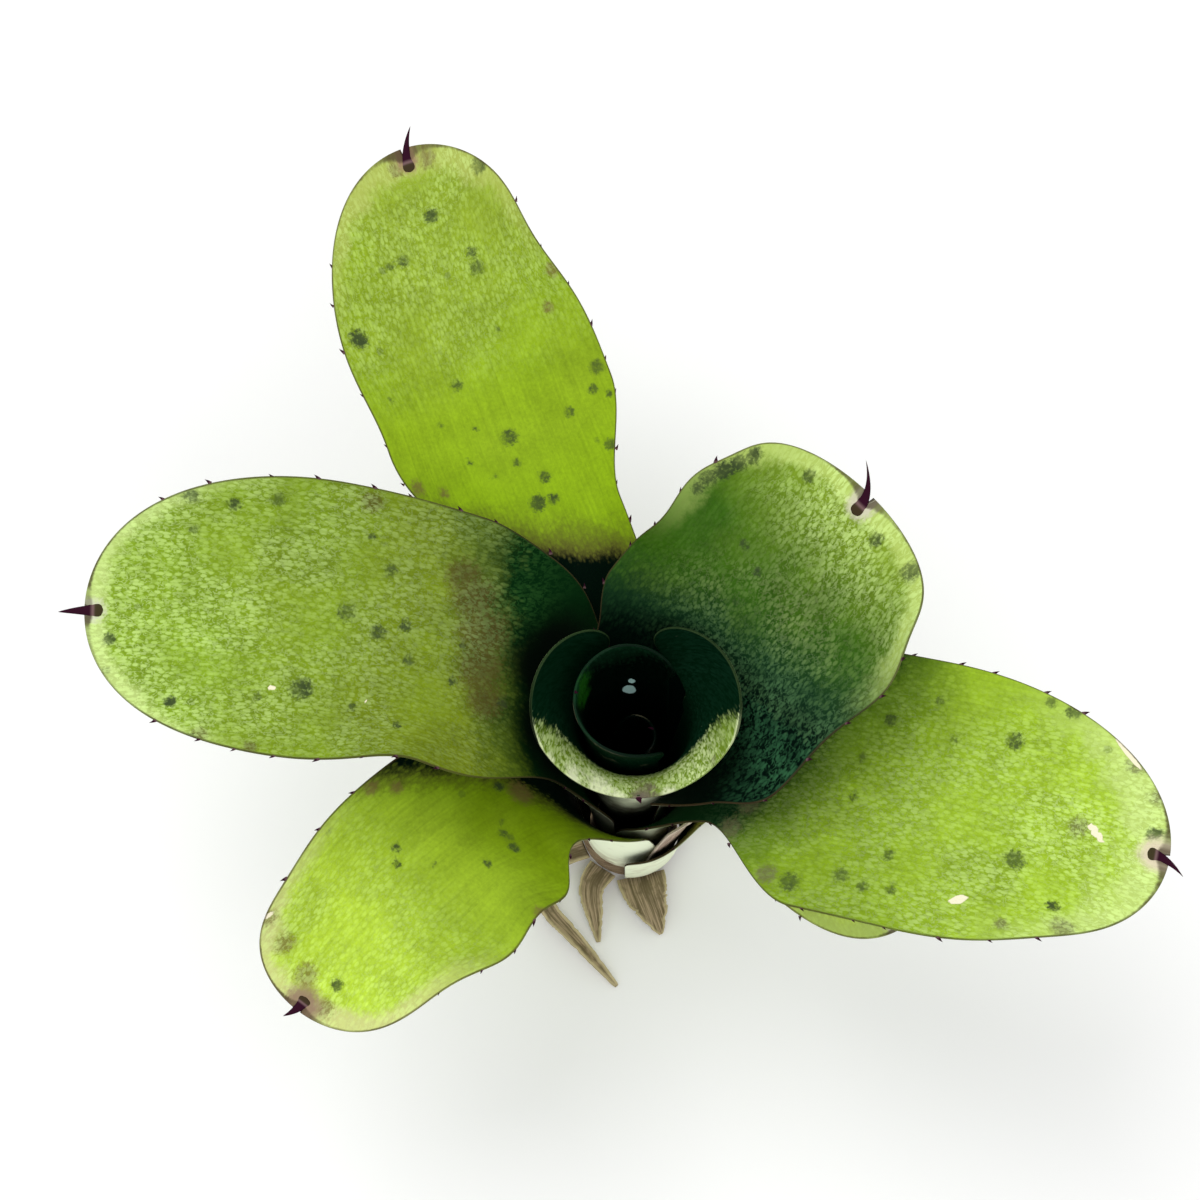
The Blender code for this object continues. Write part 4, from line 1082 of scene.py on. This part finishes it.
# Leaf cup front: wraps the cup almost full circle. Its end is rolled outwards as a mottled
# yellow green rim with a browned point in the middle. Its inner wall and the sides of the rim are
# painted dark teal as shade, darker round the sides, and the pale front of the rim is partly
# its own mottling and partly painted light.
finish = leaf_finish(
    "cup_front_skin", blade=13.0, low=(0.12, 0.19, 0.012), high=(0.16, 0.26, 0.02),
    tip=(0.66, 0.72, 0.44), tip_reach=2.2, foot=(0.12, 0.09, 0.075), foot_reach=3.0,
    scurf=0.9, grow_from=0.0, scurf_from=4.0, scurf_colour=(0.62, 0.72, 0.38), freckles=0.0,
    dark=(0.0008, 0.012, 0.004), dark_full=4.8, dark_end=6.2, dark_bow=0.0078, dark_warp=0.15,
    fringe=(0.02, 0.05, 0.012), fringe_wide=1.5, spot=(0.10, 0.07, 0.06),
    stain=(0.70, 0.74, 0.50), line=(0.04, 0.07, 0.025), damp=(0.006, 0.032, 0.015), dab_run=1.2,
    dark_rag=0.25,
)
leaf = grow_leaf(
    "leaf_cup_front_blade", finish,
    spots=((1.5, 11.0, 2.6), (3.0, 12.5, 1.6), (-1.0, 9.0, 1.3), (17.0, 11.5, 0.8)),
    # Pale marks on the front of the rim: partly its own mottling, partly painted light.
    stains=(
        (-8.0, 11.5, 3.2), (-14.0, 12.0, 2.4), (-4.0, 12.5, 2.0), (6.0, 12.5, 1.8),
        (-20.0, 12.6, 1.4),
    ),
    # Painted shade on the lower face, low in the shadowed pocket under the rim.
    pocket_shades=((-19.0, -20.0, 60.0, 15.0, 0.0), (0.0, -56.0, 30.0, 60.0, 0.0)),
    layer=2, root_height=19.0, heading=-88.0, clasp_height=80.0, blade=13.0, bend=12.0,
    climb=60.0, tip_climb=-8.0, sheath=44.0, wrap=112.0, neck=50.0, neck_at=1.0,
    width=92.0, widest_at=9.0, shoulder=10.0, rounding=7.0, blunt=2.4, hold=0.0,
    flatten=30.0, channel=80.0, notch=0.0, teeth=5.0, spine=1.6, spine_width=1.6, rim=True,
    seed=17, pucker=0.2,
)
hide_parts("leaf_cup_front")
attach(leaf, "root")

# Leaf cup inner: the rolled young leaf whose mouth is the dark round middle of the cup. It is
# smooth, painted nearly black as the shade deep in the cup, and stands free of the leaf round it.
finish = leaf_finish(
    "cup_inner_skin", roughness=0.35, blade=12.0, low=(0.002, 0.012, 0.005),
    high=(0.002, 0.016, 0.006), tip=(0.004, 0.03, 0.010), foot=(0.004, 0.03, 0.010), scurf=0.1,
    scurf_colour=(0.03, 0.10, 0.05), scurf_from=4.0, freckles=0.0, dark=(0.0004, 0.002, 0.001),
    dark_full=4.0, dark_end=10.0, fringe=(0.001, 0.008, 0.003), stain=(0.012, 0.10, 0.004),
    line=(0.001, 0.006, 0.003), scar=(0.55, 0.85, 0.80), specular=0.1,
    under=(0.001, 0.012, 0.005), sheath=(0.001, 0.010, 0.004),
)
leaf = grow_leaf(
    "leaf_cup_inner_blade", finish,
    # A painted lit patch of green at the left of the mouth.
    stains=((-1.5, 8.0, 4.2), (-2.0, 3.0, 2.6)),
    # Two painted glints, light reflected deep in the cup.
    scars=((-14.0, -5.0, 1.2, 0.9, 0.0), (-13.0, -9.0, 2.2, 1.5, 0.0)),
    layer=1, root_height=21.5, heading=172.0, clasp_height=84.0, blade=12.0, bend=20.0,
    climb=78.0, tip_climb=70.0, sheath=44.0, wrap=140.0, neck=46.0, neck_at=1.0,
    width=50.0, widest_at=5.0, rounding=6.0, flatten=60.0, channel=140.0, notch=0.0,
    teeth=0.0, spine=1.0, spine_width=1.2, rim=True, seed=18, pucker=0.0,
)
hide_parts("leaf_cup_inner")
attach(leaf, "root")

# Leaf core: the youngest leaf, tightly rolled and still closed deep inside the cup. It is glossy
# and painted almost black as the shade deep in the cup, and only its top catches the light.
finish = leaf_finish(
    "core_skin", roughness=0.25, blade=12.0, low=(0.0005, 0.003, 0.002),
    high=(0.0006, 0.004, 0.0025), tip=(0.001, 0.005, 0.003), foot=(0.001, 0.005, 0.003),
    scurf=0.05, scurf_colour=(0.02, 0.06, 0.04), scurf_from=4.0, freckles=0.0,
    dark=(0.0004, 0.002, 0.0015), dark_full=5.0, dark_end=10.0, fringe=(0.0005, 0.004, 0.002),
    under=(0.0006, 0.004, 0.002), sheath=(0.0006, 0.004, 0.002), line=(0.001, 0.004, 0.002),
    specular=0.15,
)
leaf = grow_leaf(
    "leaf_core_blade", finish,
    layer=0, root_height=24.0, heading=20.0, clasp_height=62.0, blade=12.0, bend=14.0,
    climb=96.0, tip_climb=104.0, sheath=23.0, wrap=150.0, neck=22.0, neck_at=1.0,
    width=20.0, widest_at=4.0, rounding=9.0, flatten=60.0, channel=130.0, notch=0.0,
    teeth=0.0, spine=1.0, spine_width=1.0, rim=True, seed=19, pucker=0.0,
)
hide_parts("leaf_core")
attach(leaf, "root")

# Dry bract upright: the papery base of a dropped leaf, faded pinkish brown, that still stands
# against the tube between the two right hand leaves.
def dry_finish(name, pale, dark, edge):
    """Dry papery skin: grey brown with dark fibres, blotches and a paler worn margin."""
    material, tree, shader = new_finish(name, 0.85, 0.15)
    place = read(tree, "place", "Vector")
    fibres = grain(tree, place.stretched((2.2, 0.10, 1.0)), 1.0, 3.0, 0.6)
    blotches = grain(tree, place, 0.30, 3.0, 0.6)
    skin = mixed(tree, fibres.ramp(0.36, 0.66), dark, pale)
    skin = mixed(tree, blotches.ramp(0.50, 0.66) * 0.7, skin, dark)
    skin = mixed(tree, read(tree, "margin").ramp(0.9, 0.1) * 0.6, skin, edge)
    joined(tree, shader.inputs["Base Color"], skin)
    raised(tree, shader, fibres + blotches * 0.5, 0.0003)
    return material


finish = dry_finish(
    "bract_upright_skin", (0.56, 0.44, 0.33), (0.27, 0.19, 0.14), (0.66, 0.58, 0.46)
)
leaf = grow_leaf(
    "bract_upright_sheath", finish,
    layer=8, root_height=5.5, heading=-46.0, clasp_height=46.0, blade=9.0, bend=14.0,
    climb=74.0, tip_climb=70.0, sheath=12.0, neck=11.0, neck_at=1.0, width=11.0,
    widest_at=3.0, rounding=7.0, flatten=40.0, channel=30.0, notch=0.0, teeth=0.0,
    spine=1.5, spine_lift=0.0, seed=20, rows=120, ring=48,
)
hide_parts("bract_upright")
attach(leaf, "root")

# Dry bracts on the ground: torn grey brown strips of the oldest leaf bases. They stay joined
# to the foot of the stem, curl up along both margins, and rest on the ground with their tips.
BRACT_ROWS = 9
BRACT_THICKNESS = 0.7
BRACT_START_RADIUS = 11.2
BRACT_START_HEIGHT = 2.2
BRACT_CURL = 1.0
BRACT_WOBBLE = 1.2


def bract_line(leave, end, length, width, taper):
    """The middle line of a bract, from the foot of the stem down to its resting tip."""
    share = np.linspace(0.0, 1.0, BRACT_ROWS)
    heading = math.radians(leave) + math.radians(end - leave) * eased(share / 0.5)
    step = length / (BRACT_ROWS - 1)
    x = np.concatenate([[0.0], np.cumsum(np.cos(heading[:-1]) * step)])
    y = np.concatenate([[0.0], np.cumsum(np.sin(heading[:-1]) * step)])
    x = x + BRACT_START_RADIUS * math.cos(math.radians(leave))
    y = y + BRACT_START_RADIUS * math.sin(math.radians(leave))
    half = BRACT_THICKNESS / 2.0
    hump = 1.6 + 0.03 * length
    z = half + (BRACT_START_HEIGHT - half) * (1.0 - share) + 4.0 * hump * share * (1.0 - share)
    carries = {
        "share": share,
        "half": width / 2.0 * (1.0 - share ** taper) + 0.5,
        "side_way": np.stack([-np.sin(heading), np.cos(heading), 0.0 * heading], axis=-1),
    }
    return np.stack([x, y, z], axis=-1), carries


def bract_shape():
    sizes = {
        "Rows": 90, "Ring": 56, "Thickness": BRACT_THICKNESS, "Width": 9.0, "Length": 22.0,
        "Curl": BRACT_CURL, "Wobble": BRACT_WOBBLE, "Fray": 0.14, "Seed": 0.0,
    }
    tree, size = new_shape("bract_shape", sizes, "Middle line")
    line = flow(tree, "GeometryNodeMeshToCurve", {"Mesh": size["Middle line"]})
    kind = "GeometryNodeCurveSplineType"
    line = flow(tree, kind, {"Curve": line}, spline_type="CATMULL_ROM")
    net, around, up = sheet_of_points(tree, size["Ring"] + 1, size["Rows"])
    net = flow(tree, "GeometryNodeFlipFaces", {"Mesh": net})

    def on_line(name, kind="FLOAT"):
        given = {"Curves": line, "Factor": up, "Value": carried(tree, name, kind)}
        node = add_node(tree, "GeometryNodeSampleCurve", given, mode="FACTOR", data_type=kind)
        return Flow(tree, shown(node.outputs, "Value")), Flow(tree, node.outputs["Position"])

    turn = around * (2.0 * math.pi)
    across = 0.0 - turn.cosine()
    share = on_line("share")[0]
    half, centre = on_line("half")
    side_way = on_line("side_way", "FLOAT_VECTOR")[0]
    along = share * size["Length"]
    margin_place = way_of(tree, along * 0.55, across.below(0.0) * 9.0, size["Seed"])
    torn = (grain(tree, margin_place, 1.0, 3.0) - 0.45).most(0.0)
    half = half * (1.0 - torn * size["Fray"] * 6.0 * share.ramp(0.1, 0.5))
    curl = across * across * (share * 0.7 + 0.3) * half / (size["Width"] * 0.5) * size["Curl"]
    wobble = (share * 5.0 + across * 2.0).sine() * share * (1.0 - share) * size["Wobble"]
    fold_place = way_of(tree, across * half * 1.3, share * 1.5, size["Seed"])
    folds = grain(tree, fold_place, 1.0, 1.0) - 0.5
    lift = curl + wobble + folds * share.ramp(0.0, 0.3) * 0.5
    point = centre + side_way * (across * half) + way_of(tree, 0.0, 0.0, lift)
    net = kept(tree, net, "place", way_of(tree, across * half, along, around * 6.0))
    net = kept(tree, net, "margin", (1.0 - abs(across)) * half)
    net = moved_to(tree, net, point)
    ends = (share / 0.01).held().least(((1.0 - share) / 0.01).held())
    rim = ((abs(across) * half - (half - EDGE_ROUND)) / EDGE_ROUND).held()
    thick = size["Thickness"] * (1.0 - rim * rim).most(0.0) ** 0.5 * ends
    normal = flow(tree, "GeometryNodeInputNormal")
    net = moved_to(tree, net, by=normal * (thick * 0.5))
    finished(tree, welded(tree, net, LEAF_SEAM), size)
    return tree


def grow_bract(node, name, seed, leave, end, length, width, taper):
    points, carries = bract_line(leave, end, length, width, taper)
    edges = [(number, number + 1) for number in range(len(points) - 1)]
    sizes = {"Width": width, "Length": length, "Seed": seed}
    piece = grown(name, points, edges, carries, BRACT_TREE, sizes, bract_finish)
    lowest = min(vertex.co.z for vertex in piece.data.vertices)
    for vertex in piece.data.vertices:
        vertex.co.z -= lowest
    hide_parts(node)
    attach(piece, "root")


BRACT_TREE = bract_shape()
bract_finish = dry_finish(
    "bract_skin", (0.40, 0.31, 0.19), (0.14, 0.11, 0.055), (0.62, 0.54, 0.30)
)
grow_bract("bract_front", "bract_front_strip", 1.0, -77.0, -68.0, 14.5, 10.5, 2.2)
grow_bract("bract_front_left", "bract_front_left_strip", 2.0, -124.0, -80.0, 18.0, 6.0, 1.8)
grow_bract("bract_strip", "bract_thin_strip", 3.0, -156.0, -47.0, 44.0, 3.6, 3.0)
grow_bract("bract_left", "bract_left_strip", 4.0, 164.0, 156.0, 22.0, 9.0, 1.8)
grow_bract("bract_back", "bract_back_strip", 5.0, 104.0, 112.0, 24.0, 9.0, 1.8)
grow_bract("bract_right", "bract_right_strip", 6.0, 28.0, 12.0, 24.0, 9.0, 1.8)

# Studio: a plain pale floor under soft white light, seen from above and in front as the
# plant was photographed.
VIEW_TARGET = (-0.007, 0.0194, 0.100)
VIEW_HEIGHT = 68.0
VIEW_DISTANCE = 0.450
VIEW_LENS = 67.5
FLOOR_SIZE = 6.0
SKY_STRENGTH = 0.80

corners = ((-0.5, -0.5), (0.5, -0.5), (0.5, 0.5), (-0.5, 0.5))
floor_mesh = bpy.data.meshes.new("studio_floor")
floor_mesh.from_pydata(
    [(x * FLOOR_SIZE, y * FLOOR_SIZE, 0.0) for x, y in corners], [], [(0, 1, 2, 3)]
)
floor = bpy.data.objects.new("studio_floor", floor_mesh)
bpy.context.scene.collection.objects.link(floor)
floor_finish, tree, shader = new_finish("floor_finish", 0.9, 0.1)
shader.inputs["Base Color"].default_value = (0.93, 0.93, 0.93, 1.0)
floor_mesh.materials.append(floor_finish)

world = bpy.data.worlds.new("studio_air")
world.use_nodes = True
sky = world.node_tree.nodes["Background"]
sky.inputs["Color"].default_value = (1.0, 1.0, 1.0, 1.0)
sky.inputs["Strength"].default_value = SKY_STRENGTH
bpy.context.scene.world = world


def soft_lamp(name, place, aim, size, power):
    lamp = bpy.data.lights.new(name, "AREA")
    lamp.shape = "DISK"
    lamp.size = size
    lamp.energy = power
    stand = bpy.data.objects.new(name, lamp)
    bpy.context.scene.collection.objects.link(stand)
    stand.location = place
    way = np.array(aim) - np.array(place)
    flat = math.hypot(way[0], way[1])
    turn = math.atan2(way[1], way[0]) - math.pi / 2.0
    stand.rotation_euler = (math.atan2(flat, -way[2]), 0.0, turn)


soft_lamp("top_lamp", (-0.5, 0.5, 1.5), (0.0, 0.0, 0.05), 1.2, 9.5)
soft_lamp("front_lamp", (0.3, -0.9, 1.2), (0.0, 0.0, 0.05), 0.8, 4.0)

camera = bpy.data.cameras.new("photo_camera")
camera.lens = VIEW_LENS
camera.sensor_width = 36.0
camera.clip_start = 0.01
camera_stand = bpy.data.objects.new("photo_camera", camera)
bpy.context.scene.collection.objects.link(camera_stand)
tilt = math.radians(VIEW_HEIGHT)
camera_stand.location = (
    STEM_AXIS[0] + VIEW_TARGET[0],
    STEM_AXIS[1] + VIEW_TARGET[1] - VIEW_DISTANCE * math.cos(tilt),
    VIEW_TARGET[2] + VIEW_DISTANCE * math.sin(tilt),
)
camera_stand.rotation_euler = (math.pi / 2.0 - tilt, 0.0, 0.0)
bpy.context.scene.camera = camera_stand
bpy.context.scene.view_settings.view_transform = "Standard"
